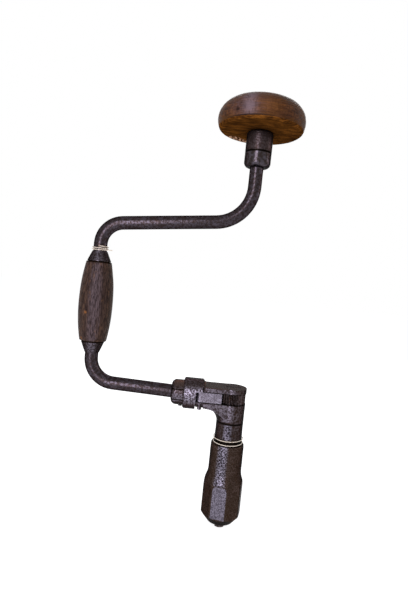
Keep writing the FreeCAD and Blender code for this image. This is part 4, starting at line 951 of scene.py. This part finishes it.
def neck_tie():
    radius = NECK_SKIRT + NECK_WIRE / 2 + WIRE_GAP
    low = shell_top + NECK_WIRE / 2 + WIRE_GAP
    path = []
    for turns, angle in windings(math.pi / 2):
        climb = NECK_WIRE_PITCH * smooth_step(*NECK_WIRE_CROSSING, turns) + NECK_WIRE_RISE * turns
        tilt = NECK_WIRE_LEAN * (1 + math.cos(angle))
        wobble = NECK_WIRE_WOBBLE * noise.noise(Vector((turns * NECK_WOBBLE_RATE, NECK_WOBBLE_ROW, 0.0)))
        height = low + climb + tilt + wobble
        path.append(Vector((radius * math.cos(angle), radius * math.sin(angle), height)))
    return tube("neck_tie", path, NECK_WIRE / 2 * NECK_WIRE_SLIMNESS, NECK_WIRE_SIDES)


def grip_route():
    """The loose end and the turns of the upper wire."""
    radius = ROD + GRIP_WIRE / 2 + WIRE_GAP
    low = collar_top + GRIP_WIRE / 2 + GRIP_WIRE_LIFT
    start = Vector((grip_axis, -radius, low))
    tail = GRIP_WIRE_TAIL + radius
    path = []
    for step in range(GRIP_TAIL_STEPS):
        share = 1 - step / GRIP_TAIL_STEPS
        path.append(start + Vector((tail * share, 0.0, GRIP_TAIL_RISE * share)))
    for turns, angle in windings(-math.pi / 2):
        height = low + GRIP_WIRE_PITCH * turns
        path.append(Vector((grip_axis + radius * math.cos(angle), radius * math.sin(angle), height)))
    return path


def strand(name, path, phase):
    """One of two wires laid round each other along a path."""
    radius = GRIP_WIRE / 4
    length = 0.0
    line = []
    for index, (point, way) in enumerate(zip(path, directions(path))):
        if index:
            length += (point - path[index - 1]).length
        across = Vector((0, 0, 1)).cross(way).normalized()
        up = way.cross(across)
        line.append(beside_point(point, across, up, math.tau * length / STRAND_LAY + phase, radius))
    return tube(name, line, radius * STRAND_SLIMNESS, STRAND_SIDES)


neck_wire = dress(neck_tie(), tie_material)
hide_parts("neck_tie_wire")
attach(neck_wire, "chuck")

route = grip_route()
first_strand = dress(strand("grip_tie_first", route, 0.0), tie_material)
second_strand = dress(strand("grip_tie_second", route, math.pi), tie_material)
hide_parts("grip_tie_wire")
for piece in (first_strand, second_strand):
    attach(piece, "frame")


# Camera

CAMERA_PLACE = (-32.64 * MM, -380.81 * MM, 219.90 * MM)
CAMERA_PITCH = math.radians(4.0)
CAMERA_ROLL = math.radians(5.752)
LENS = 26.0
SENSOR = 36.0
CLIP_NEAR = 0.01
CLIP_FAR = 50.0

camera = bpy.data.objects.new("camera", bpy.data.cameras.new("camera"))
bpy.context.scene.collection.objects.link(camera)
camera.data.lens = LENS
camera.data.sensor_width = SENSOR
camera.data.sensor_fit = "AUTO"
camera.data.clip_start = CLIP_NEAR
camera.data.clip_end = CLIP_FAR

# Rows for the picture's right, down and depth, first for a level view along +Y
ahead = Matrix(((1, 0, 0), (0, 0, -1), (0, 1, 0)))
view = Matrix.Rotation(CAMERA_ROLL, 3, "Z") @ Matrix.Rotation(CAMERA_PITCH, 3, "X") @ ahead
facing = (view.transposed() @ Matrix.Diagonal((1, -1, -1))).to_4x4()
camera.matrix_world = Matrix.Translation(CAMERA_PLACE) @ facing
bpy.context.scene.camera = camera


# Floor, light and background

FLOOR_SIZE = 8.0
FLOOR_LIFT = 0.78
FLOOR_LOOK = {
    "Base Color": (0.80, 0.80, 0.80, 1.0),
    "Roughness": 0.9,
    "Specular IOR Level": 0.0,
    "Emission Color": (1.0, 1.0, 1.0, 1.0),
}
ROOM_LIGHT = ((0.92, 0.95, 1.0, 1.0), 0.30)
BACKDROP = ((1.0, 1.0, 1.0, 1.0), 1.0)
MIDDLE = (-0.05, 0.0, 0.2)


def seen_directly(tree):
    """1 for the rays that the camera, gloss and glass send out, else 0."""
    path = tree.nodes.new("ShaderNodeLightPath")
    total = path.outputs["Is Camera Ray"]
    for name in ("Is Glossy Ray", "Is Transmission Ray"):
        most = tree.nodes.new("ShaderNodeMath")
        most.operation = "MAXIMUM"
        tree.links.new(total, most.inputs[0])
        tree.links.new(path.outputs[name], most.inputs[1])
        total = most.outputs[0]
    return total


def paper():
    """White paper, brightened for the camera but not for the light that it throws back."""
    material = bpy.data.materials.new("floor_paper")
    material.use_nodes = True
    tree = material.node_tree
    shader = tree.nodes["Principled BSDF"]
    for name, value in FLOOR_LOOK.items():
        shader.inputs[name].default_value = value
    lift = tree.nodes.new("ShaderNodeMath")
    lift.operation = "MULTIPLY"
    lift.inputs[1].default_value = FLOOR_LIFT
    tree.links.new(seen_directly(tree), lift.inputs[0])
    tree.links.new(lift.outputs[0], shader.inputs["Emission Strength"])
    return material


def background(tree, colour, strength):
    made = tree.nodes.new("ShaderNodeBackground")
    made.inputs["Color"].default_value = colour
    made.inputs["Strength"].default_value = strength
    return made.outputs[0]


def lamp(name, place, target, size, power, colour=(1.0, 1.0, 1.0)):
    light = bpy.data.lights.new(name, "AREA")
    light.shape = "RECTANGLE"
    light.size, light.size_y = size
    light.energy = power
    light.color = colour
    made = bpy.data.objects.new(name, light)
    bpy.context.scene.collection.objects.link(made)
    made.location = place
    made.rotation_euler = (Vector(target) - Vector(place)).to_track_quat("-Z", "Y").to_euler()


half = FLOOR_SIZE / 2
corners = [(x * half, y * half, 0) for x, y in ((-1, -1), (1, -1), (1, 1), (-1, 1))]
floor = new_object("floor", corners, [(0, 1, 2, 3)], smooth=False)
dress(floor, paper())

world = bpy.data.worlds.new("studio")
bpy.context.scene.world = world
world.use_nodes = True
world_tree = world.node_tree
world_tree.nodes.clear()
output = world_tree.nodes.new("ShaderNodeOutputWorld")
mix = world_tree.nodes.new("ShaderNodeMixShader")
sources = (seen_directly(world_tree), background(world_tree, *ROOM_LIGHT),
           background(world_tree, *BACKDROP))
for socket, source in zip(mix.inputs, sources):
    world_tree.links.new(source, socket)
world_tree.links.new(mix.outputs[0], output.inputs[0])

lamp("key_light", place=(-0.23, -0.60, 0.30), target=(-0.05, 0.0, 0.30), size=(0.27, 0.56), power=3.2,
     colour=(0.92, 0.90, 1.0))
lamp("side_light", place=(0.80, 0.10, 0.45), target=MIDDLE, size=(0.5, 0.5), power=1.0,
     colour=(1.0, 0.95, 0.90))
lamp("back_light", place=(0.10, 0.85, 0.70), target=MIDDLE, size=(0.6, 0.6), power=3.5)

bpy.context.scene.view_settings.view_transform = "Standard"

bpy.context.view_layer.update()
